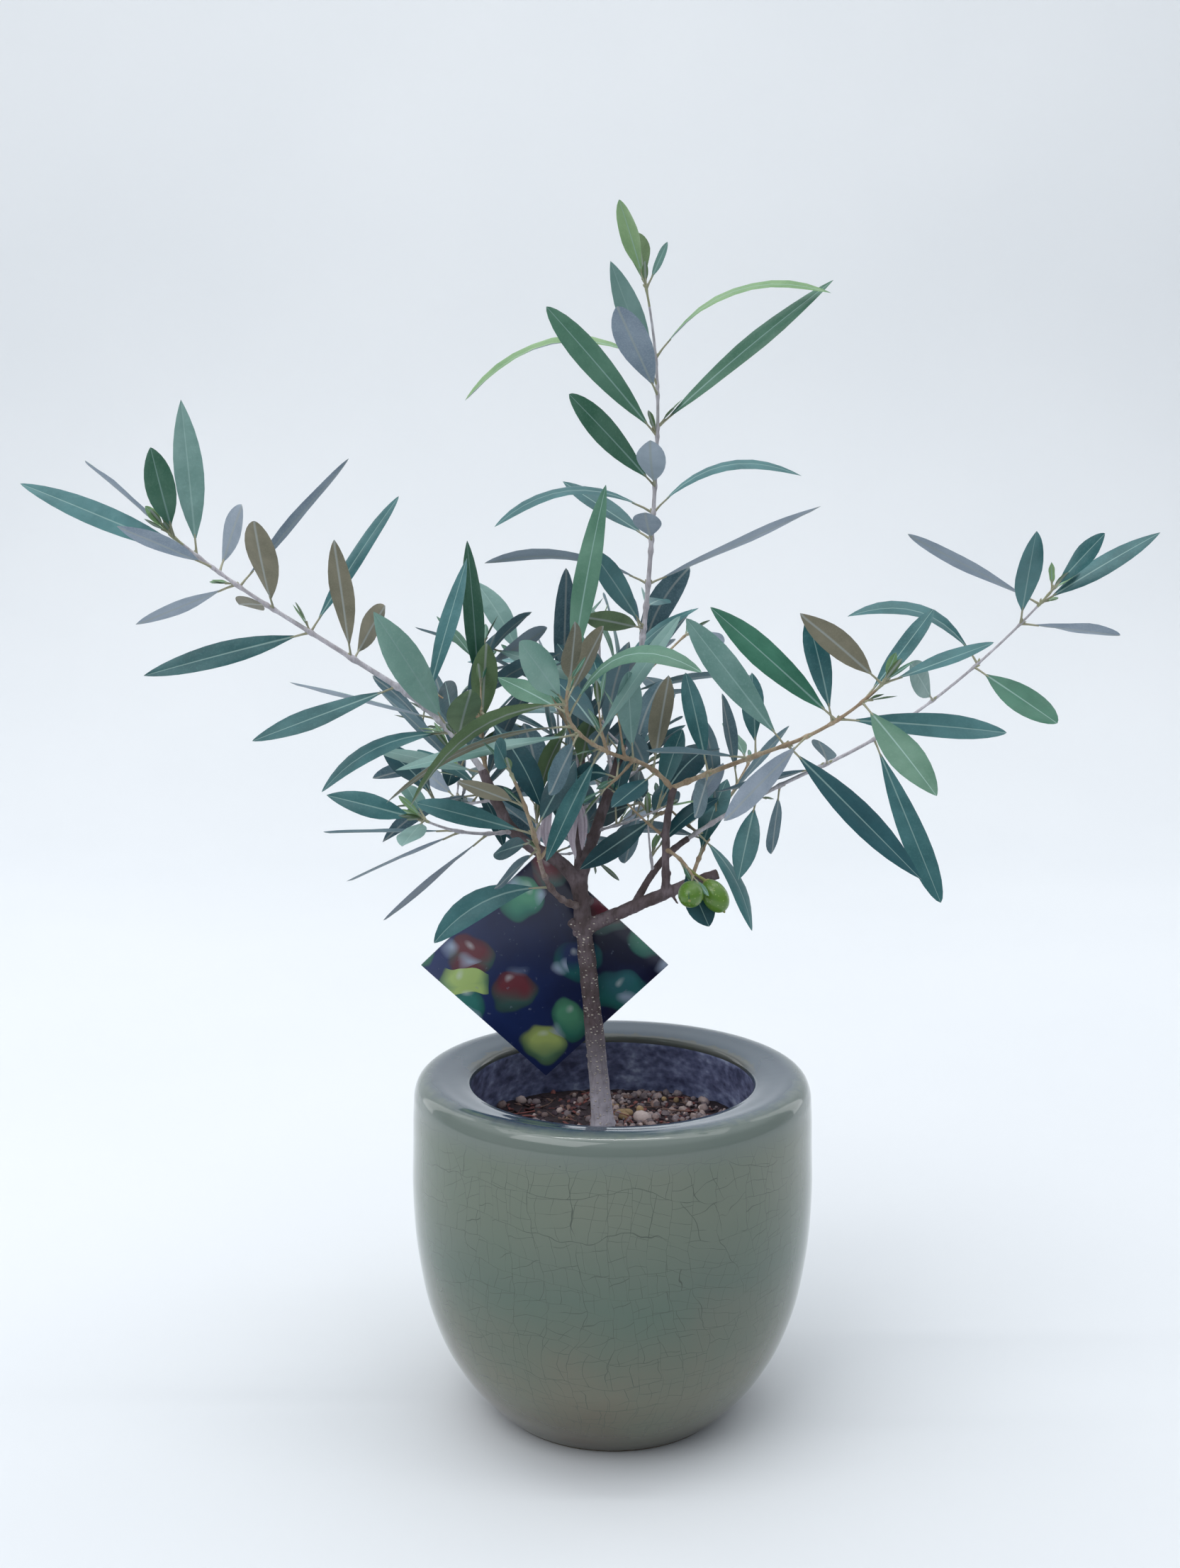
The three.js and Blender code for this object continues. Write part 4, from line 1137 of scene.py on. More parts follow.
def crackle_glaze(name, settings):
    """Fired crackle glaze over stoneware: glassy, darker and browner low down, partly from thinner
    glaze over the clay and partly painted shade and a painted reflection of brown ground at the
    foot; painted reflection greys the rolled rim and tints its top slate blue; fine dark cracks
    wander through the glass."""
    material, tree, shader, place = new_material(name)
    axes = add(tree, "SeparateXYZ", [place])
    mottle = add(tree, "TexNoise", {"Vector": place, "Scale": per_mm(46), "Detail": 3.0})
    height = add(tree, "Math", [mottle, 0.03, axes.outputs[2]], operation="MULTIPLY_ADD")
    level = add(tree, "MapRange", [height, 0.0, 0.16])
    # Up the body by height: the dark brown at the foot is partly thin glaze over the clay, partly
    # painted shade where the pot meets the floor and a painted reflection of brown ground
    body = add(tree, "ValToRGB", [level], stops=[
        (0.02, "#2c261a"), (0.12, "#504635"), (0.32, "#6b6857"), (0.6, "#56665a"),
        (0.8, "#697263"), (0.94, "#6c7567"),
    ])
    cloud = add(tree, "MapRange", [mottle, 0.35, 0.7, 0.0, 0.4])
    tone = add(tree, "Mix", {"Factor": cloud, "A": body, "B": settings.glaze_colour})
    turned = add(tree, "Math", [axes.outputs[1], -1.0], operation="MULTIPLY")
    angle = add(tree, "Math", [axes.outputs[0], turned], operation="ARCTAN2")
    around = add(tree, "Math", [angle, CRACKS_ROUND / (2 * math.pi)], operation="MULTIPLY")
    rise = add(tree, "Math", [axes.outputs[2], settings.crackle_size], operation="DIVIDE")
    upright = crackle_net(tree, place, around, rise, 0.0)
    lying = crackle_net(tree, place, rise, around, 7.3)
    lines = add(tree, "Math", [upright, lying], operation="MAXIMUM")
    fade = add(tree, "MapRange", [axes.outputs[2], 0.126, 0.141, 1.0, 0.1])
    cracked = add(tree, "Math", [lines, fade], operation="MULTIPLY")
    crackled = add(tree, "Mix", {"Factor": cracked, "A": tone, "B": settings.crackle_colour})
    specks = add(tree, "TexVoronoi", {"Vector": place, "Scale": per_mm(9)})
    kinds = add(tree, "SeparateColor", [specks.outputs["Color"]])
    few = add(tree, "MapRange", [kinds.outputs[1], 0.86, 0.88])
    dot = add(tree, "MapRange", [specks.outputs["Distance"], 0.035, 0.055, 1.0, 0.0])
    fleck = add(tree, "Math", [few, dot], operation="MULTIPLY")
    glazed = add(tree, "Mix", {"Factor": fleck, "A": crackled, "B": "#3c4438"})
    flat = add(tree, "Mapping", {"Vector": place, "Scale": (1.0, 1.0, 0.0)})
    radius = add(tree, "VectorMath", [flat], operation="LENGTH").outputs["Value"]
    ragged = add(tree, "TexNoise", {"Vector": place, "Scale": per_mm(5), "Detail": 4.0})
    edge = add(tree, "Math", [ragged, 0.006, radius], operation="MULTIPLY_ADD")
    upper = add(tree, "MapRange", [axes.outputs[2], 0.139, 0.141])
    back = add(tree, "MapRange", [axes.outputs[1], 0.0, 0.02])
    band = add(tree, "MapRange", [edge, 0.0652, 0.0667, 0.6, 0.0])
    brown = add(tree, "Math", [band, back], operation="MULTIPLY")
    brown = add(tree, "Math", [brown, upper], operation="MULTIPLY")
    # Painted reflection: the rolled rim and its top turn a lighter grey, as the glaze looks where
    # it reflects the pale surround
    painted_rim_reflection = add(tree, "MapRange", [axes.outputs[2], 0.13, 0.14, 0.0, 0.7])
    glazed = add(tree, "Mix", {"Factor": painted_rim_reflection, "A": glazed, "B": "#6b7673"})
    # Painted reflection: the top of the rim is tinted slate blue for the sky it reflects
    painted_sky_tint = add(tree, "MapRange", [edge, 0.078, 0.0835, 0.8, 0.0])
    painted_sky_tint = add(tree, "Math", [painted_sky_tint, upper], operation="MULTIPLY")
    glazed = add(tree, "Mix", {"Factor": painted_sky_tint, "A": glazed, "B": "#33475c"})
    finished = add(tree, "Mix", {"Factor": brown, "A": glazed, "B": "#5f5c48"})
    wave = add(tree, "TexNoise", {"Vector": place, "Scale": per_mm(12), "Detail": 2.0})
    bump = add(tree, "Bump", {"Height": wave, "Strength": 0.12, "Distance": 0.0006})
    cut = add(tree, "Bump", {"Height": cracked, "Strength": 0.15, "Distance": 0.0001,
                             "Normal": bump}, invert=True)
    feed(tree, shader, {"Base Color": finished, "Roughness": 0.08, "Normal": cut,
                        "Coat Weight": 0.3, "Coat Roughness": 0.02})
    return material


def brushed_slip(name):
    """Thin slate-grey slip brushed round the inside of the pot, half matt and streaky."""
    material, tree, shader, place = new_material(name)
    streaks = add(tree, "Mapping", {"Vector": place, "Scale": (0.8, 0.8, 1.2)})
    brush = add(tree, "TexNoise", {"Vector": streaks, "Scale": per_mm(3.2), "Detail": 4.0})
    cloud = add(tree, "TexNoise", {"Vector": place, "Scale": per_mm(11), "Detail": 4.0})
    mixed = add(tree, "Math", [brush, cloud], operation="ADD")
    amount = add(tree, "MapRange", [mixed, 0.75, 1.3])
    tone = add(tree, "ValToRGB", [amount], stops=[
        (0.0, "#474e6e"), (0.4, "#6f779c"), (0.72, "#8d97bc"), (1.0, "#b6c2dd"),
    ])
    bump = add(tree, "Bump", {"Height": mixed, "Strength": 0.4, "Distance": 0.0005})
    feed(tree, shader, {"Base Color": tone, "Roughness": 0.42, "Normal": bump})
    return material


def bare_stoneware(name):
    """Unglazed fired clay of the foot: a dull sandy brown with dark grit."""
    material, tree, shader, place = new_material(name)
    grit = add(tree, "TexNoise", {"Vector": place, "Scale": per_mm(1.4), "Detail": 4.0})
    tone = add(tree, "ValToRGB", [grit], stops=[
        (0.3, "#4b4438"), (0.55, "#6f6656"), (0.8, "#8a8170"),
    ])
    bump = add(tree, "Bump", {"Height": grit, "Strength": 0.5, "Distance": 0.0003})
    feed(tree, shader, {"Base Color": tone, "Roughness": 0.85, "Normal": bump})
    return material


def loose_matter(name, colour, light, grain, roughness=0.85, relief=0.0004):
    """Crumbs, chips or stones, each of its own tone, broken or worn and quite matt."""
    material, tree, shader, place = new_material(name)
    shade = add(tree, "Attribute", attribute_name="shade").outputs["Fac"]
    speckle = add(tree, "TexNoise", {"Vector": place, "Scale": per_mm(grain), "Detail": 4.0,
                                     "Roughness": 0.6})
    mixed = add(tree, "Math", [speckle, shade], operation="ADD")
    amount = add(tree, "MapRange", [mixed, 0.3, 1.6])
    tone = add(tree, "Mix", {"Factor": amount, "A": colour, "B": light})
    bump = add(tree, "Bump", {"Height": speckle, "Strength": 0.7, "Distance": relief})
    feed(tree, shader, {"Base Color": tone, "Roughness": roughness, "Normal": bump})
    return material


def olive_skin(name, colour, light):
    """Waxy skin of an unripe olive: tight and glossy, with small pale pores."""
    material, tree, shader, place = new_material(name)
    cloud = add(tree, "TexNoise", {"Vector": place, "Scale": per_mm(9), "Detail": 2.0})
    tone = add(tree, "Mix", {"Factor": cloud, "A": colour, "B": light})
    pores = add(tree, "TexVoronoi", {"Vector": place, "Scale": per_mm(1.3)})
    dot = add(tree, "MapRange", [pores.outputs["Distance"], 0.1, 0.24, 0.6, 0.0])
    finished = add(tree, "Mix", {"Factor": dot, "A": tone, "B": "#b6c37a"})
    bump = add(tree, "Bump", {"Height": dot, "Strength": 0.15, "Distance": 0.0001})
    feed(tree, shader, {"Base Color": finished, "Roughness": 0.3, "Normal": bump,
                        "Coat Weight": 0.2, "Coat Roughness": 0.2, "Subsurface Weight": 0.12,
                        "Subsurface Scale": 0.002})
    return material


def printed_card(name, settings):
    """Satin printed card: a deep navy ground with soft round spots of green, teal and plum."""
    material, tree, shader, sheet = new_material(name, uv_map="face")
    cloud = add(tree, "TexNoise", {"Vector": sheet, "Scale": 4.0, "Detail": 3.0})
    low = add(tree, "SeparateXYZ", [sheet]).outputs[1]
    fall = add(tree, "MapRange", [low, 0.1, 0.9, 0.4, -0.32])
    haze = add(tree, "Math", [cloud, 0.6, fall], operation="MULTIPLY_ADD")
    ground = add(tree, "Mix", {"Factor": haze, "A": settings.card_colour,
                               "B": settings.card_cloud_colour})
    wander = add(tree, "TexNoise", {"Vector": sheet, "Scale": 5.0, "Detail": 1.0})
    shift = add(tree, "VectorMath", [wander.outputs["Color"], (0.16, 0.16, 0.0)],
                operation="MULTIPLY")
    rows = add(tree, "Mapping", {"Vector": sheet, "Location": (0.27, 0.04, 0.0),
                                 "Scale": (1.0, 1.0, 0.0)})
    rows = add(tree, "VectorMath", [rows, shift], operation="ADD")
    spots = add(tree, "TexVoronoi", {"Vector": rows, "Scale": 2.9, "Randomness": 0.75},
                voronoi_dimensions="2D")
    kinds = add(tree, "SeparateColor", [spots.outputs["Color"]])
    size = add(tree, "MapRange", [kinds.outputs[0], 0.0, 1.0, 0.27, 0.46])
    inward = add(tree, "Math", [size, spots.outputs["Distance"]], operation="SUBTRACT")
    disc = add(tree, "MapRange", [inward, 0.0, 0.045])
    tints = add(tree, "ValToRGB", [kinds.outputs[1]], stops=[
        (0.0, "#4a1c2e"), (0.24, "#93474b"), (0.31, "#1b2a58"), (0.42, "#22396a"), (0.5, "#3f937c"),
        (0.64, "#86bb7c"), (0.82, "#bad07a"),
    ])
    toward = add(tree, "Mapping", {"Vector": rows, "Location": (0.05, -0.045, 0.0)})
    offset = add(tree, "TexVoronoi", {"Vector": toward, "Scale": 2.9, "Randomness": 0.75},
                 voronoi_dimensions="2D")
    side = add(tree, "MapRange", [offset.outputs["Distance"], 0.2, 0.44, 0.0, 0.75])
    turned = add(tree, "Mix", {"Factor": side, "A": tints, "B": settings.spot_colour})
    solid = add(tree, "MapRange", [inward, 0.0, 0.17, 0.45])
    round_spot = add(tree, "Mix", {"Factor": solid, "A": settings.card_colour, "B": turned})
    gleam = add(tree, "MapRange", [offset.outputs["Distance"], 0.0, 0.1, 0.5, 0.0])
    lit = add(tree, "Mix", {"Factor": gleam, "A": round_spot, "B": "#e0e8ea"})
    printed = add(tree, "Mix", {"Factor": disc, "A": ground, "B": lit})
    drops = add(tree, "TexVoronoi", {"Vector": rows, "Scale": 7.5}, voronoi_dimensions="2D")
    drop_kinds = add(tree, "SeparateColor", [drops.outputs["Color"]])
    few = add(tree, "MapRange", [drop_kinds.outputs[0], 0.84, 0.88])
    soft = add(tree, "MapRange", [drops.outputs["Distance"], 0.05, 0.45, 0.7, 0.0])
    shine = add(tree, "Math", [few, soft], operation="MULTIPLY")
    printed = add(tree, "Mix", {"Factor": shine, "A": printed, "B": "#b4c4dc"})
    flecks = add(tree, "TexNoise", {"Vector": sheet, "Scale": 26.0, "Detail": 4.0})
    bright = add(tree, "MapRange", [flecks, 0.66, 0.76, 0.0, 0.5])
    finished = add(tree, "Mix", {"Factor": bright, "A": printed, "B": "#8f9aac"})
    feed(tree, shader, {"Base Color": finished, "Roughness": 0.3, "Coat Weight": 0.08,
                        "Coat Roughness": 0.15})
    return material


def cut_card(name):
    """Raw edge of card: soft off-white fibre."""
    material, tree, shader, place = new_material(name)
    fibre = add(tree, "TexNoise", {"Vector": place, "Scale": per_mm(0.8), "Detail": 3.0})
    tone = add(tree, "Mix", {"Factor": fibre, "A": "#3b4152", "B": "#9a9fa8"})
    feed(tree, shader, {"Base Color": tone, "Roughness": 0.8})
    return material


def plain_floor(name, settings):
    """Painted studio floor: an even, pale matt with the faintest cloud."""
    material, tree, shader, place = new_material(name)
    cloud = add(tree, "TexNoise", {"Vector": place, "Scale": 3.0, "Detail": 2.0})
    amount = add(tree, "MapRange", [cloud, 0.0, 1.0, 0.0, 0.15])
    tone = add(tree, "Mix", {"Factor": amount, "A": settings.floor_colour, "B": "#ffffff"})
    feed(tree, shader, {"Base Color": tone, "Roughness": 0.7})
    return material


# Settings

def colour_property(name, description, default):
    return bpy.props.FloatVectorProperty(name=name, description=description, subtype="COLOR",
                                         size=3, min=0, max=1, default=linear(default))


def amount_property(name, description, default, kind=bpy.props.FloatProperty, **more):
    return kind(name=name, description=description, default=default, min=0, **more)


class OliveTreeSettings(bpy.types.PropertyGroup):
    bark_relief: amount_property("Bark relief", "Depth of the bark's ridges and cracks", 0.00035,
                                 subtype="DISTANCE", unit="LENGTH")
    bark_colour: colour_property("Bark", "Bark of the trunk and boughs", "#5d5051")
    leaf_teal: colour_property("Blue-green leaf", "Upper side of most leaves", "#225558")
    leaf_green: colour_property("Green leaf", "Upper side of greener leaves", "#35664f")
    leaf_moss: colour_property("Moss leaf", "Upper side of a few darker green leaves", "#1d5240")
    # Painted shade: a darker copy of the upper side for leaves in the crown's shade
    leaf_deep: colour_property("Deep leaf", "Upper side of shaded leaves", "#103a42")
    leaf_sage: colour_property("Sage leaf", "Upper side of dusty leaves", "#618880")
    # Painted light: a lighter copy of the upper side for a few leaves that look lit
    leaf_pale: colour_property("Pale leaf", "Upper side of a few leaves that shine", "#7fa699")
    leaf_young: colour_property("Young leaf", "Upper side of new leaves", "#658c5c")
    under_mauve: colour_property("Mauve underside", "Cool underside of a leaf", "#8291a0")
    under_beige: colour_property("Beige underside", "Warm underside of a leaf", "#636150")
    # Painted shade: a darker copy of the underside for leaves in the crown's shade
    under_slate: colour_property("Slate underside", "Shaded blue-green underside", "#44606b")
    under_olive: colour_property("Olive underside", "Yellow-green underside", "#465c3a")
    olive_colour: colour_property("Olive", "Skin of the unripe olives", "#4a7526")


class GlazedPotSettings(bpy.types.PropertyGroup):
    glaze_colour: colour_property("Glaze", "Green of the thick glaze", "#4b6555")
    crackle_colour: colour_property("Crackle", "Fine cracks in the glaze", "#333e34")
    crackle_size: bpy.props.FloatProperty(
        name="Crackle size", description="Width of one cell of the crackle",
        default=0.0085, min=0.001, subtype="DISTANCE", unit="LENGTH")


class CompostSettings(bpy.types.PropertyGroup):
    chip_count: amount_property("Bark chips", "How many chips and crumbs lie on top", 900,
                                kind=bpy.props.IntProperty)
    grit_count: amount_property("Grit", "How many small stones lie on top", 620,
                                kind=bpy.props.IntProperty)
    stick_count: amount_property("Fibres", "How many fibres and thin sticks lie on top", 120,
                                 kind=bpy.props.IntProperty)


class LabelCardSettings(bpy.types.PropertyGroup):
    card_colour: colour_property("Ground", "Deep colour of the card", "#0c1030")
    card_cloud_colour: colour_property("Cloud", "Softer cloud in the ground", "#253b74")
    spot_colour: colour_property("Spot shade", "Colour that the spots turn to", "#1d6f66")


class StageSettings(bpy.types.PropertyGroup):
    floor_colour: colour_property("Floor", "Plain pale floor", "#d8dcdf")
    key_power: amount_property("Key light", "Power of the large soft light", 27, unit="POWER")
    backdrop_power: amount_property("Backdrop light", "Power of the light on the backdrop", 38,
                                    unit="POWER")
    strip_power: amount_property("Strip lights", "Power of each tall light beside the pot", 2.2,
                                 unit="POWER")
    lip_power: amount_property("Overhead light", "Power of the narrow light overhead", 5,
                               unit="POWER")
    sky_strength: amount_property("Surround", "Strength of the even light all round", 0.62)
    beyond_strength: amount_property("Beyond", "Brightness of what lies beyond the floor", 0.8)


# Looks of the finishes that repeat. Leaves: the lighter tone of each, its own tone being a
# setting; shoots: base, dark and pale; loose matter: tone, light tone, grain, roughness, relief.
# The deep and slate tones are painted shade, the pale tone painted light
LEAF_LIGHTS = dict(teal="#548688", green="#678f7b", moss="#427b64", deep="#2f5f66",
                   sage="#88a8a3", pale="#a0bfb4", young="#9bb98a")
UNDER_LIGHTS = dict(mauve="#aeb9c5", beige="#908b77", slate="#78949c", olive="#738c65")
TOP_RIB = "#95b3ad"
UNDER_RIB = "#a4aba8"
SHOOT_BARKS = {
    "grey_shoot": ("#b5b1b6", "#8b8487", "#cfccd2"),
    "tan_shoot": ("#9c8971", "#786656", "#b9a88f"),
    "dun_shoot": ("#86756a", "#62534b", "#a1928a"),
    "brown_shoot": ("#6c5d5a", "#463c3a", "#877a78"),
}
LOOSE_MATTER = {
    "dark_chip": ("#20161a", "#51404a", 1.3),
    "brown_chip": ("#42302c", "#886c62", 1.3),
    "red_chip": ("#48262a", "#8c5650", 1.3),
    "beige_grit": ("#5f4c4a", "#ad9a96", 1.0, 0.75, 0.0002),
    "grey_grit": ("#5f5457", "#988b8e", 1.0, 0.75, 0.0002),
    "ochre_grit": ("#77634a", "#b99c72", 1.0, 0.75, 0.0002),
    "pink_grit": ("#7b6865", "#cdbab5", 1.0, 0.75, 0.0002),
    "pink_stone": ("#a08e8a", "#ddccc6", 1.4, 0.6, 0.0002),
}

# Strewing: how far from the pot's axis things lie, how far they keep from the trunk's, and the
# large stones as x, y, size and finish
STREW_SEED = 4242
STREW_REACH = 60.5
FIBRE_REACH = 56
FIBRE_END_REACH = 61
TRUNK_CLEARANCE = 6.8
LARGE_STONES = [
    (13.5, 18, 4.2, "pink_stone"), (33, -13, 3.4, "pink_stone"), (4, 24, 2.8, "ochre_grit"),
    (7, 26, 2.6, "ochre_grit"), (5.5, 21, 2.4, "ochre_grit"), (47, 2, 3, "beige_grit"),
]

# Bark as one skin: spacing and sides of its tubes, side of a voxel in metres, rounds of
# smoothing, and how squarely and how near the bough's end a face lies where the cut wood shows
LIMB_SPACING = 1.4
LIMB_SIDES = 18
BARK_VOXEL = 0.0004
BARK_SMOOTHING = 9
CUT_FACING = 0.72
CUT_REACH = 3.4

# Pot: how far under the top the slip inside begins, how wide it reaches, and the bare foot
SLIP_DEPTH = 2.2
SLIP_RADIUS = 70
FOOT_HEIGHT = 0.8


# Pieces

def pot_profile():
    """Foot, outside, rolled rim, inside and floor of the hollow, for the spin."""
    outside = [(radius, height, "AUTO") for radius, height in POT_OUTSIDE]
    inside = [(radius, height, "AUTO") for radius, height in POT_INSIDE]
    outside[0] = (*POT_OUTSIDE[0], "VECTOR")
    return [(0, 0, "VECTOR"), *outside, *inside, (0, POT_INSIDE[-1][1], "VECTOR")]


def bed_height(x, y):
    """Height of the compost: gently heaped, with lumps and crumbs."""
    heave = noise.noise(Vector((x / 17, y / 17, 3))) * 1.5
    lumps = noise.noise(Vector((x / 5, y / 5, 9))) * 0.8
    crumbs = noise.noise(Vector((x / 1.7, y / 1.7, 5))) * 0.45
    return SOIL_TOP - 0.3 + heave + lumps + crumbs


def wood_relief(obj, depth):
    """Pushes long ridges and small knobs out of the bark."""
    vertices = obj.data.vertices
    points = np.zeros(len(vertices) * 3)
    vertices.foreach_get("co", points)
    normals = np.array([vertex.normal for vertex in vertices])
    pushed = points.reshape(-1, 3)
    for k, (x, y, z) in enumerate(pushed / MM):
        ridge = noise.noise(Vector((x / 1.3, y / 1.3, z / 6)))
        lump = noise.noise(Vector((x / 3.4, y / 3.4, z / 4)) + Vector((7, 3, 1)))
        knob = max(0, noise.noise(Vector((x / 0.9, y / 0.9, z / 0.7))) - 0.28) * 2
        pushed[k] += normals[k] * (depth * (0.4 * ridge + 0.8 * lump + 0.4 * knob))
    vertices.foreach_set("co", pushed.ravel())
    obj.data.update()


def limb_tube(stem):
    """A limb as a closed tube with slow swellings, sunk into what carries it."""
    shares, points, radii = finer(stem, LIMB_SPACING)
    wobble = [noise.noise(Vector((share * stem.length / 9, len(stem.name), 2))) for share in shares]
    radii = radii * (1 + 0.07 * np.array(wobble))
    collar = np.exp(-shares * stem.length / 3.5)
    if stem.name == "trunk":
        foot = points[0] - UP * 5
        radii = np.concatenate(([radii[0] + 0.4], radii))
    else:
        foot = points[0] - stem.way(0) * (1.8 if stem.at_tip else 0.2)
        radii = np.concatenate(([radii[0]], radii * (1 + 0.28 * collar)))
    return sweep(np.concatenate(([foot], points)), radii, LIMB_SIDES)


class OLIVE_OT_wood(bpy.types.Operator):
    """Grows the trunk and main boughs as one skin of bark over a voxel remesh"""

    bl_idname = "olive.wood"
    bl_label = "Trunk and boughs"

    def execute(self, context):
        settings = context.scene.olive_tree
        stems, _ = grow_tree()
        wood = Parts()
        for name in [*LIMBS, *STUBS]:
            wood.join(*limb_tube(stems[name]), "bark")
        ball, ball_faces = pebble()
        for limb, share, bearing, size in SCARS:
            stem = stems[limb]
            level = across(heading(bearing, 0), stem.way(share))
            middle = stem.point(share) + level * (stem.radius_at(share) + size * 0.05)
            wood.join(middle + ball * (size * np.array((1, 1, 1.25))), ball_faces, "bark")
        obj = mesh_object("bark_wood", np.concatenate(wood.points), wood.faces)
        apply_modifier(obj, "REMESH", mode="VOXEL", voxel_size=BARK_VOXEL, adaptivity=0)
        apply_modifier(obj, "SMOOTH", factor=0.5, iterations=BARK_SMOOTHING)
        wood_relief(obj, settings.bark_relief)
        # The low colour pales the trunk's foot: partly its own tone, partly painted light
        obj.data.materials.append(bark("living_bark", settings.bark_colour, "#3d3432",
                                       "#7a6d72", 0.62, low="#c4c0ca"))
        obj.data.materials.append(loose_matter("cut_wood", "#3b3029", "#6e5b49", 1.2))
        bough = stems["right_bough"]
        end, way = bough.point(1), bough.way(1)
        for face in obj.data.polygons:
            away = np.linalg.norm(np.array(face.center) / MM - end)
            if np.array(face.normal) @ way > CUT_FACING and away < CUT_REACH:
                face.material_index = 1
        select_only(obj)
        bpy.ops.object.shade_smooth()
        settle_piece(obj, "bark", *LIMBS)
        return {"FINISHED"}


def shoot_finish(row, share, woody):
    """Name of a shoot's skin: brown where it leaves the trunk, green toward the tip."""
    if share > GREEN_FROM:
        return "green_skin"
    if woody and share < BROWN_UNTIL:
        return "brown_shoot"
    if woody and share < DUN_UNTIL:
        return "dun_shoot"
    return f"{row['bark']}_shoot"


class OLIVE_OT_shoots(bpy.types.Operator):
    """Grows the shoots and side twigs with swollen joints, and a bud at each leaf"""

    bl_idname = "olive.shoots"
    bl_label = "Shoots and twigs"

    def execute(self, context):
        stems, leaves = grow_tree()
        shoots = Parts()
        for name, stem in stems.items():
            if stem.owner not in SPRAYS or stem.end == 0:
                continue
            row = SPRAYS[stem.owner]
            joints = [leaf.share for leaf in leaves if leaf.stem is stem]
            draw = seeded(len(name) * 389 + 7)
            joints += [0.04 + 0.4 * draw() for _ in range(row.get("knots", 2))]
            shares, points, radii = finer(stem, SHOOT_SPACING)
            bulge = np.zeros(len(shares))
            for joint in joints:
                away = (shares - joint) * stem.length
                bulge = np.maximum(bulge, np.exp(-(away / 1.3) ** 2))
            radii = radii * (SHOOT_SLIMNESS * (1 + 0.34 * bulge)) + 0.1 * bulge
            radii[-1] *= 0.4
            if stem.at_tip or name != stem.owner:
                points = np.concatenate(([points[0] - stem.way(0) * 1.2], points))
                radii = np.concatenate((radii[:1], radii))
                shares = np.concatenate(([0], shares))
            tube, faces = sweep(points, radii, SHOOT_SIDES)
            woody = row["parent"] == "trunk" and name == stem.owner
            skins = [shoot_finish(row, share, woody) for share in shares[:-1]
                     for _ in range(SHOOT_SIDES)]
            shoots.join(tube, faces, skins + [skins[0], skins[-1]])
        for leaf in leaves:
            draw = seeded(leaf.number * 613 + 17)
            stem_way = leaf.stem.way(leaf.share)
            radius = leaf.stem.radius_at(leaf.share) * SHOOT_SLIMNESS
            side = across(leaf.way, stem_way)
            way = unit(stem_way * 1.4 + side)
            foot = leaf.base + side * (radius * 0.7) + stem_way * 1.0
            size = 1.1 + 1.3 * draw()
            path = np.array([foot, foot + way * size * 0.5, foot + way * size])
            shoots.join(*sweep(path, (0.55, 0.5, 0.12), 6), "green_skin")
        finishes = {name: bark(name, *tones, spot=0.45, fissure=3.5, relief=0.0002)
                    for name, tones in SHOOT_BARKS.items()}
        finishes["green_skin"] = green_stalk("green_skin", "#8e9173", "#a9a88b")
        obj = piece_from("young_shoots", shoots, finishes)
        settle_piece(obj, "bark", *SPRAYS)
        return {"FINISHED"}


def axil_growth(parts, stem, leaves, tint):
    """New leaves at the tip of a shoot and in some of its axils, where leaves meet the stem."""
    draw = seeded(int(stem.length * 1000) % 9973 + 11)
    tip, way = stem.point(stem.end), stem.way(stem.end)
    for turn in (0, 180):
        spread = branch_way(way, turn + 60 * draw(), 16 + 12 * draw())
        small_leaf(parts, way, tip - way * 0.8, spread, 9 + 9 * draw(), 2 + 1.2 * draw(), draw,
                   tint, "olive_under")
    for leaf in leaves:
        if leaf.stem is not stem or draw() > 0.16:
            continue
        stem_way = stem.way(leaf.share)
        side = across(leaf.way, stem_way)
        foot = leaf.base + side * (stem.radius_at(leaf.share) * 0.6) + stem_way
        for _ in range(2):
            spread = unit(stem_way * 1.5 + side * (0.5 + draw()) + FRONT * (draw() - 0.5))
            small_leaf(parts, stem_way, foot, spread, 6 + 8 * draw(), 1.8 + 1.4 * draw(), draw,
                       tint, "olive_under")


class OLIVE_OT_leaves(bpy.types.Operator):
    """Grows the leaves of each mass as one piece, their colours dealt out by spray"""

    bl_idname = "olive.leaves"
    bl_label = "Leaves"

    def execute(self, context):
        settings = context.scene.olive_tree
        finishes = {"stalk": green_stalk("leaf_stalk", "#8d8c72", "#aaa78f")}
        for tint, light in LEAF_LIGHTS.items():
            tone = getattr(settings, f"leaf_{tint}")
            finishes[f"{tint}_top"] = leaf_top(f"{tint}_top", tone, light, TOP_RIB)
        for back, light in UNDER_LIGHTS.items():
            tone = getattr(settings, f"under_{back}")
            finishes[f"{back}_under"] = leaf_under(f"{back}_under", tone, light, UNDER_RIB)
        stems, leaves = grow_tree()
        for name, row in SPRAYS.items():
            parts = Parts()
            tints, backs = row["tints"].split(), row.get("backs", SHADED_BACKS).split()
            own = [leaf for leaf in leaves if leaf.owner == name]
            count = sum(leaf.kind != "fine" for leaf in own)
            for k, leaf in enumerate(own):
                shape = leaf_shape(seeded(leaf.number * 331 + 29))
                # Fine leaves in the heart of the crown are mostly deep above and slate beneath:
                # painted shade
                if leaf.kind == "fine":
                    tint, back = ("deep", "teal", "deep")[k % 3], ("slate", "olive")[k % 4 // 3]
                else:
                    tint, back = tints[k * len(tints) // count], backs[k * len(backs) // count]
                blade(parts, leaf, shape, f"{tint}_top", f"{back}_under")
            fresh = "young_top" if row["bark"] == "grey" else "green_top"
            for stem in stems.values():
                if stem.owner == name and stem.end > 0:
                    axil_growth(parts, stem, own, fresh)
            obj = piece_from(f"{name}_leaves", parts, finishes)
            settle_piece(obj, "foliage", name)
        return {"FINISHED"}


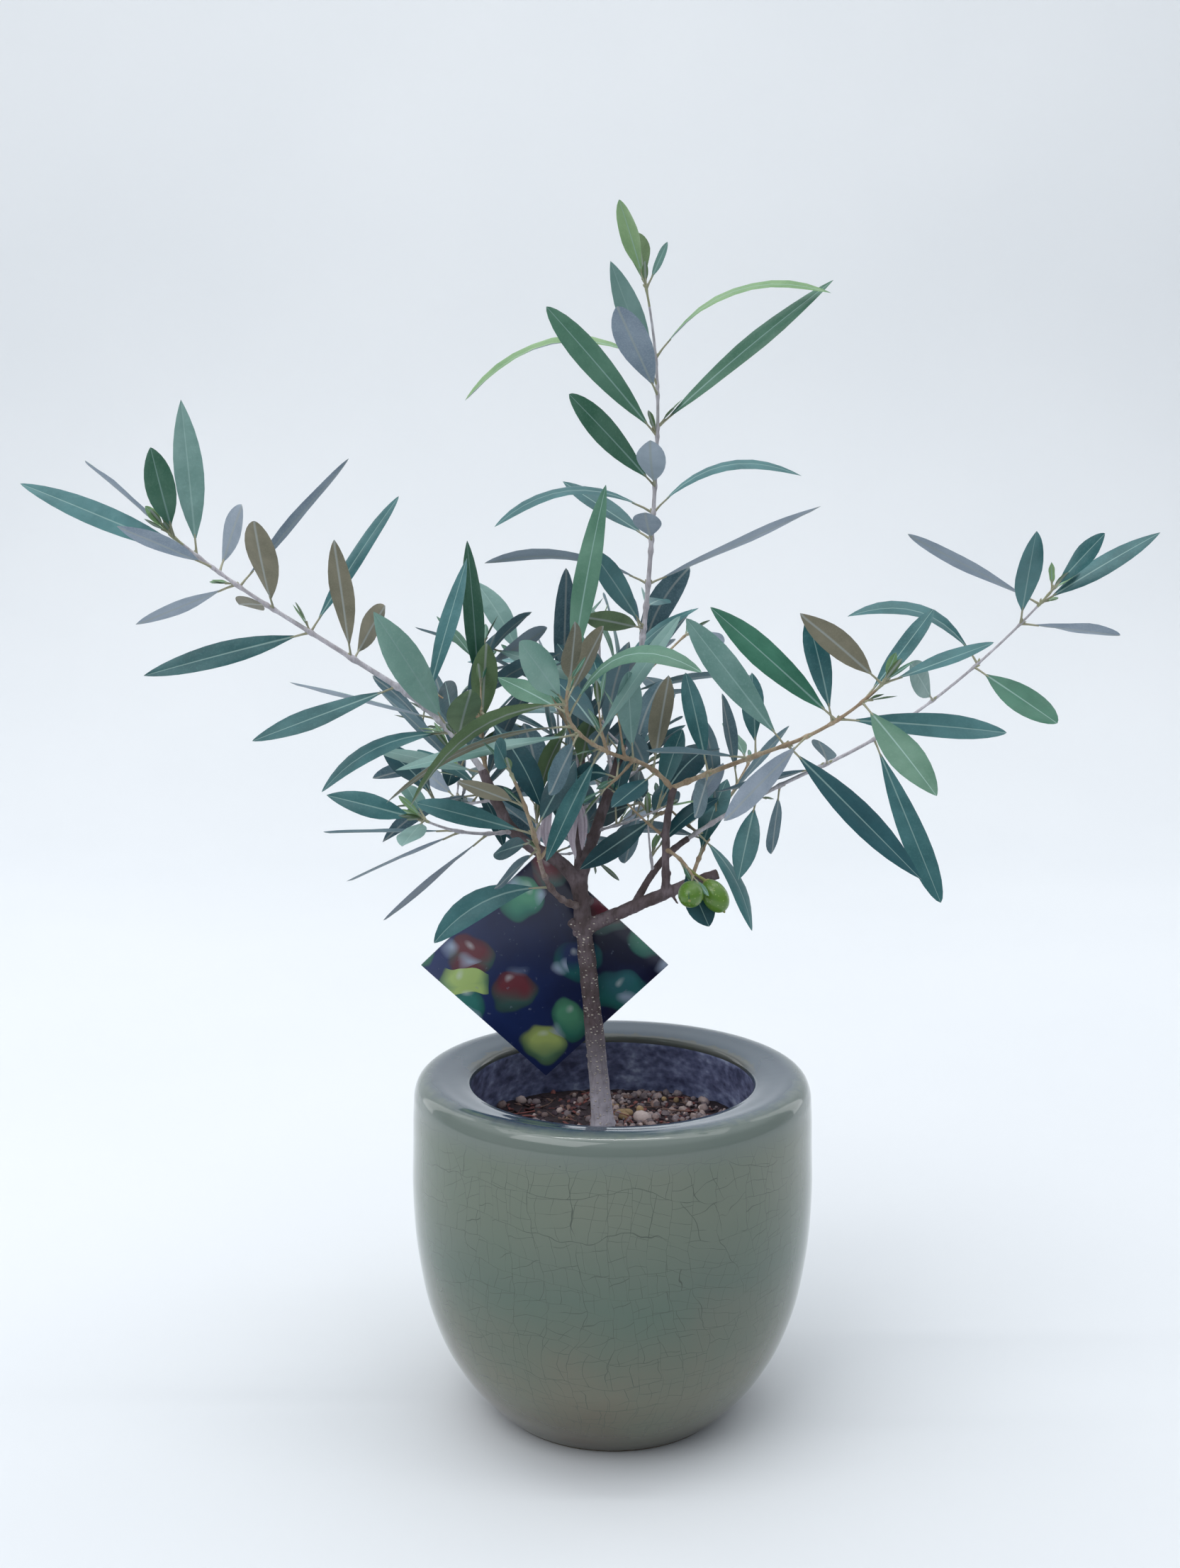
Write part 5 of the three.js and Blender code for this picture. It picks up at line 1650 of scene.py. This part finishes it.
class OLIVE_OT_fruit(bpy.types.Operator):
    """Shapes the two unripe olives on their stalks"""

    bl_idname = "olive.fruit"
    bl_label = "Olives"

    def execute(self, context):
        settings = context.scene.olive_tree
        stems, _ = grow_tree()
        twig = stems["fruiting_twig"]
        fruit = Parts()
        for row in OLIVES:
            middle = twig.point(0.97) + np.array(row["offset"])
            axis = heading(*row["axis"])
            stations = np.cos(np.linspace(math.pi, 0, 23))
            path = middle + axis * (stations * row["length"] / 2)[:, None]
            radii = row["width"] / 2 * np.sqrt(np.maximum(1 - stations ** 2, 0.0006))
            radii = radii * (1 + 0.05 * stations)
            fruit.join(*sweep(path, radii, 28), "olive_skin")
            tip = middle + axis * (row["length"] / 2)
            nib = np.array([tip - axis * 0.5, tip + axis * 0.25, tip + axis * 0.7])
            fruit.join(*sweep(nib, (0.8, 0.5, 0.12), 8), "olive_stalk")
            top = middle - axis * (row["length"] / 2)
            foot = twig.point(row["stalk_from"])
            knee = (foot + top) / 2 - UP * 0.4
            stalk = np.array([foot, knee, top + axis * 0.4])
            fruit.join(*sweep(stalk, (0.65, 0.55, 0.75), 8), "olive_stalk")
            ring = np.array([top - axis * 0.35, top, top + axis * 0.4])
            fruit.join(*sweep(ring, (0.8, 1.5, 1.7), 12), "olive_stalk")
        finishes = {
            "olive_skin": olive_skin("olive_skin", settings.olive_colour, "#6c9038"),
            "olive_stalk": green_stalk("olive_stalk", "#7c8440", "#a2a468"),
        }
        obj = piece_from("olives", fruit, finishes)
        settle_piece(obj, "foliage", "fruiting_twig")
        return {"FINISHED"}


class OLIVE_OT_dried_leaves(bpy.types.Operator):
    """Hangs the curled dry leaves in the fork"""

    bl_idname = "olive.dried_leaves"
    bl_label = "Dried leaves"

    def execute(self, context):
        dried = Parts()
        for k, row in enumerate(DRIED_LEAVES):
            way = heading(*row["way"])
            base = np.array(row["foot"], float)
            leaf = SimpleNamespace(base=base, way=way, length=row["length"], width=row["width"],
                                   face=across(FRONT, way), sag=0.16)
            shape = leaf_shape(seeded(k * 97 + 5))
            shape.fold, shape.twist, shape.roll = 0.95, 2.2 - 1.3 * k, 0.5
            blade(dried, leaf, shape, "dry_leaf", "dry_leaf")
        dry = leaf_under("dry_leaf", "#a89ba6", "#d8ced6", "#ddd5dc")
        finishes = {"dry_leaf": dry, "stalk": dry}
        settle_piece(piece_from("dried_leaves", dried, finishes), "foliage")
        return {"FINISHED"}


class OLIVE_OT_pot(bpy.types.Operator):
    """Spins the glazed pot from its profile"""

    bl_idname = "olive.pot"
    bl_label = "Glazed pot"

    def execute(self, context):
        settings = context.scene.olive_pot
        obj = spun("glazed_pot", pot_profile(), POT_TURNS, 6)
        mesh = obj.data
        mesh.materials.append(crackle_glaze("crackle_glaze", settings))
        mesh.materials.append(brushed_slip("brushed_slip"))
        mesh.materials.append(bare_stoneware("bare_stoneware"))
        for face in mesh.polygons:
            x, y, z = face.center / MM
            inward = face.normal.x * x + face.normal.y * y < 0
            if inward and z < POT_OUTSIDE[-1][1] - SLIP_DEPTH and math.hypot(x, y) < SLIP_RADIUS:
                face.material_index = 1
            if z < FOOT_HEIGHT:
                face.material_index = 2
        select_only(obj)
        bpy.ops.object.shade_smooth_by_angle(angle=math.radians(50))
        settle_piece(obj, "glaze", "pot")
        return {"FINISHED"}


def scatter(draw, reach):
    """A place on the compost, clear of the trunk."""
    while True:
        radius, turn = reach * math.sqrt(draw()), 2 * math.pi * draw()
        x, y = radius * math.cos(turn), radius * math.sin(turn)
        if math.hypot(x - TRUNK_FOOT[0], y - TRUNK_FOOT[1]) > TRUNK_CLEARANCE:
            return x, y


def strew_stone(parts, draw, spot, size, finish, sink, jag, flatness=1.0):
    """A rough stone or chip, turned by chance and laid on the compost."""
    ball, faces = pebble()
    rough = 1 + jag * np.array([draw() - 0.5 for _ in ball])[:, None]
    place = np.array((*spot, bed_height(*spot) + sink * size[2]))
    points = (ball * rough * size) @ turned_by(draw, flatness).T + place
    parts.join(points, faces, finish, shade=draw())


class OLIVE_OT_compost(bpy.types.Operator):
    """Fills the pot with compost and strews chips, fibres and grit on it"""

    bl_idname = "olive.compost"
    bl_label = "Compost"

    def execute(self, context):
        settings = context.scene.olive_compost
        profile = [(k * SOIL_RIM_RADIUS / SOIL_RINGS, SOIL_TOP, "VECTOR")
                   for k in range(SOIL_RINGS + 1)]
        bottom = SOIL_TOP - SOIL_DEPTH
        profile += [(SOIL_RIM_RADIUS + 0.6, bottom, "VECTOR"), (0, bottom, "VECTOR")]
        bed = spun("compost_bed", profile, SOIL_TURNS, 1)
        for vertex in bed.data.vertices:
            if vertex.co.z > (SOIL_TOP - 1) * MM:
                vertex.co.z = bed_height(vertex.co.x / MM, vertex.co.y / MM) * MM
        bed.data.materials.append(loose_matter("peaty_compost", "#22171a", "#524048", 1.6))
        select_only(bed)
        bpy.ops.object.shade_smooth()
        settle_piece(bed, "compost", "soil")
        self.strew(settings)
        return {"FINISHED"}

    def strew(self, settings):
        """Chips and fibres over all the bed, grit mostly on the right."""
        draw = seeded(STREW_SEED)
        top = Parts()
        for k in range(settings.chip_count):
            spot = scatter(draw, STREW_REACH)
            size = np.array((0.8 + 2.2 * draw(), 0.6 + 1.1 * draw(), 0.35 + 0.5 * draw()))
            finish = ("dark_chip", "dark_chip", "brown_chip", "red_chip")[k % 4]
            strew_stone(top, draw, spot, size, finish, sink=0.25, jag=0.35, flatness=0.35)
        for k in range(settings.grit_count):
            while True:
                spot = scatter(draw, STREW_REACH)
                if spot[0] + 24 * draw() > 4 or draw() < 0.12:
                    break
            size = (0.8 + 1.8 * draw() ** 2) * np.array((1, 0.8 + 0.2 * draw(), 0.6 + 0.3 * draw()))
            finish = ("beige_grit", "grey_grit", "pink_grit", "grey_grit")[k % 4]
            if k % 26 == 0:
                finish = "ochre_grit"
            strew_stone(top, draw, spot, size, finish, sink=0.3, jag=0.3)
        for k in range(settings.stick_count):
            x, y = scatter(draw, FIBRE_REACH)
            length, turn, rise = 4 + 11 * draw(), 2 * math.pi * draw(), 0.3 * (draw() - 0.3)
            way = np.array((math.cos(turn), math.sin(turn), rise))
            bend = np.array((-way[1], way[0], 0)) * (draw() - 0.5) * 2.4
            foot = np.array((x, y, bed_height(x, y) + 0.5))
            path = np.array([foot, foot + way * (length / 2) + bend, foot + way * length])
            if np.hypot(path[:, 0], path[:, 1]).max() < FIBRE_END_REACH:
                thick = 0.18 + 0.35 * draw()
                finish = ("brown_chip", "dark_chip", "red_chip")[k % 3]
                top.join(*sweep(path, (thick, thick * 0.9, thick * 0.5), 5), finish, shade=draw())
        ball, faces = pebble()
        for x, y, size, finish in LARGE_STONES:
            stretch = np.array((1.15, 0.9, 0.72)) * size
            place = np.array((x, y, bed_height(x, y) + 0.35 * size))
            top.join(ball * stretch @ turned_by(draw, 0.2).T + place, faces, finish)
        finishes = {name: loose_matter(name, *look) for name, look in LOOSE_MATTER.items()}
        settle_piece(piece_from("compost_top", top, finishes), "compost", "soil")


class OLIVE_OT_label_card(bpy.types.Operator):
    """Cuts the square label card and sets it on its corner"""

    bl_idname = "olive.label_card"
    bl_label = "Label card"

    def execute(self, context):
        settings = context.scene.olive_card
        bpy.ops.object.select_all(action="DESELECT")
        bpy.ops.mesh.primitive_cube_add(size=1)
        obj = context.object
        obj.name = obj.data.name = "label_card_sheet"
        obj.scale = (CARD_SIDE * MM, CARD_THICKNESS * MM, CARD_SIDE * MM)
        bpy.ops.object.transform_apply(location=False, rotation=False, scale=True)
        edit_all((bpy.ops.mesh.subdivide, {"number_cuts": 11}))
        apply_modifier(obj, "BEVEL", width=0.0002, segments=2, limit_method="ANGLE")
        mesh = obj.data
        sheet = mesh.uv_layers.new(name="face")
        for loop in mesh.loops:
            spot = mesh.vertices[loop.vertex_index].co / (CARD_SIDE * MM)
            sheet.data[loop.index].uv = (spot.x + 0.5, spot.z + 0.5)
        mesh.materials.append(printed_card("printed_card", settings))
        mesh.materials.append(cut_card("cut_card_edge"))
        for face in mesh.polygons:
            face.material_index = 0 if abs(face.normal.y) > 0.7 else 1
        half = CARD_SIDE * MM / 2
        for vertex in mesh.vertices:
            vertex.co.y += CARD_BOW * MM * math.sin(vertex.co.x / half * 1.5)
        turn = Matrix.Identity(4)
        for degrees, axis in ((CARD_TURN, "Z"), (CARD_LEAN, "X"), (CARD_CORNER, "Y")):
            turn = turn @ Matrix.Rotation(math.radians(degrees), 4, axis)
        mesh.transform(Matrix.Translation(Vector(CARD_CENTRE) * MM) @ turn)
        select_only(obj)
        bpy.ops.object.shade_smooth_by_angle(angle=math.radians(40))
        settle_piece(obj, "card", "label_card")
        return {"FINISHED"}


# Stage, in metres: the floor's course backward and up into a backdrop, the camera, and the
# lights as place, aim, width, height and the setting that gives their power
SWEEP_PROFILE = [(-4, 0, "VECTOR"), (1, 0, "VECTOR"), (1.45, 0.06, "AUTO"), (1.8, 0.36, "AUTO"),
                 (1.94, 0.95, "AUTO"), (1.95, 2.6, "VECTOR")]
SWEEP_HALF_WIDTH = 5.2
CAMERA_LENS = 39.42
CAMERA_PLACE = (-0.0095, -0.7048, 0.3703)
CAMERA_TILT = 81.835
LIGHTS = {
    "key_light": ((-1.3, -1.5, 2.2), (0, 0, 0.2), 2.0, 2.0, "key_power"),
    "lip_light": ((0, -0.12, 2.4), (0, -0.1, 0), 1.5, 0.08, "lip_power"),
    "backdrop_light": ((0, 0.4, 2.7), (0, 1.9, 0.9), 4.0, 2.4, "backdrop_power"),
    "left_strip": ((-1.3, 0.98, 0.8), (0, 0, 0.15), 0.5, 1.6, "strip_power"),
    "right_strip": ((1.3, 0.98, 0.8), (0, 0, 0.15), 0.5, 1.6, "strip_power"),
}


class OLIVE_OT_stage(bpy.types.Operator):
    """Lays the pale floor and sets the soft lights and the camera"""

    bl_idname = "olive.stage"
    bl_label = "Floor, lights and camera"

    def execute(self, context):
        settings = context.scene.olive_stage
        line = [(-SWEEP_HALF_WIDTH / MM, along / MM, height / MM, handle)
                for along, height, handle in SWEEP_PROFILE]
        floor = drawn_line("studio_floor", line, 16)
        shift = {"TRANSFORM_OT_translate": {"value": (2 * SWEEP_HALF_WIDTH, 0, 0)}}
        edit_all((bpy.ops.mesh.extrude_region_move, shift),
                 (bpy.ops.mesh.normals_make_consistent, {"inside": False}))
        bpy.ops.object.shade_smooth()
        floor.data.materials.append(plain_floor("studio_floor", settings))
        self.light_up(context.scene, settings)
        data = bpy.data.cameras.new("photo_camera")
        data.lens = CAMERA_LENS
        camera = bpy.data.objects.new("photo_camera", data)
        camera.location = CAMERA_PLACE
        camera.rotation_euler = (math.radians(CAMERA_TILT), 0, 0)
        context.scene.collection.objects.link(camera)
        context.scene.camera = camera
        return {"FINISHED"}

    def light_up(self, scene, settings):
        """Soft light from above and behind, one large light, one overhead that draws a thin
        gleam along the lip, and two strips; beyond the floor lies the same pale tone."""
        world = bpy.data.worlds.new("studio_surround")
        world.use_nodes = True
        scene.world = world
        tree = world.node_tree
        axes = add(tree, "SeparateXYZ", [add(tree, "TexCoord").outputs["Generated"]])
        behind = add(tree, "Math", [axes.outputs[1], 0.1, 0.48], operation="MULTIPLY_ADD")
        above = add(tree, "MapRange", [axes.outputs[2], 0.34, 0.62, 0.0, 0.95])
        both = add(tree, "Math", [above, behind], operation="ADD")
        strength = add(tree, "Math", [both, settings.sky_strength], operation="MULTIPLY")
        seen = add(tree, "LightPath").outputs["Is Camera Ray"]
        beyond = add(tree, "MapRange",
                     [axes.outputs[2], -0.12, 0.3, 0.55, settings.beyond_strength])
        shown = add(tree, "Mix", {"Factor": seen, "A": strength, "B": beyond}, data_type="FLOAT")
        feed(tree, tree.nodes["Background"], {"Color": "#eef3fb", "Strength": shown})
        for name, (place, aim, width, height, power) in LIGHTS.items():
            data = bpy.data.lights.new(name, "AREA")
            data.shape = "RECTANGLE"
            data.size = width
            data.size_y = height
            data.energy = getattr(settings, power)
            light = bpy.data.objects.new(name, data)
            light.visible_camera = False
            light.location = place
            light.rotation_euler = (Vector(aim) - Vector(place)).to_track_quat("-Z", "Y").to_euler()
            scene.collection.objects.link(light)
        scene.view_settings.view_transform = "Standard"


class OLIVE_PT_sidebar(bpy.types.Panel):
    """Lists the steps that make the tree"""

    bl_label = "Potted olive tree"
    bl_idname = "OLIVE_PT_sidebar"
    bl_space_type = "VIEW_3D"
    bl_region_type = "UI"
    bl_category = "Olive tree"

    def draw(self, context):
        for operator in OPERATORS:
            self.layout.operator(operator.bl_idname)


OPERATORS = (
    OLIVE_OT_pot,
    OLIVE_OT_compost,
    OLIVE_OT_wood,
    OLIVE_OT_shoots,
    OLIVE_OT_leaves,
    OLIVE_OT_fruit,
    OLIVE_OT_dried_leaves,
    OLIVE_OT_label_card,
    OLIVE_OT_stage,
)
SETTINGS = {
    "olive_tree": OliveTreeSettings,
    "olive_pot": GlazedPotSettings,
    "olive_compost": CompostSettings,
    "olive_card": LabelCardSettings,
    "olive_stage": StageSettings,
}


def register():
    for name, group in SETTINGS.items():
        bpy.utils.register_class(group)
        setattr(bpy.types.Scene, name, bpy.props.PointerProperty(type=group))
    for cls in (*OPERATORS, OLIVE_PT_sidebar):
        bpy.utils.register_class(cls)


def unregister():
    for cls in (OLIVE_PT_sidebar, *reversed(OPERATORS)):
        bpy.utils.unregister_class(cls)
    for name, group in SETTINGS.items():
        delattr(bpy.types.Scene, name)
        bpy.utils.unregister_class(group)


def main():
    register()
    bpy.ops.olive.pot()
    bpy.ops.olive.compost()
    bpy.ops.olive.wood()
    bpy.ops.olive.shoots()
    bpy.ops.olive.leaves()
    bpy.ops.olive.fruit()
    bpy.ops.olive.dried_leaves()
    bpy.ops.olive.label_card()
    bpy.ops.olive.stage()


if __name__ == "__main__":
    main()
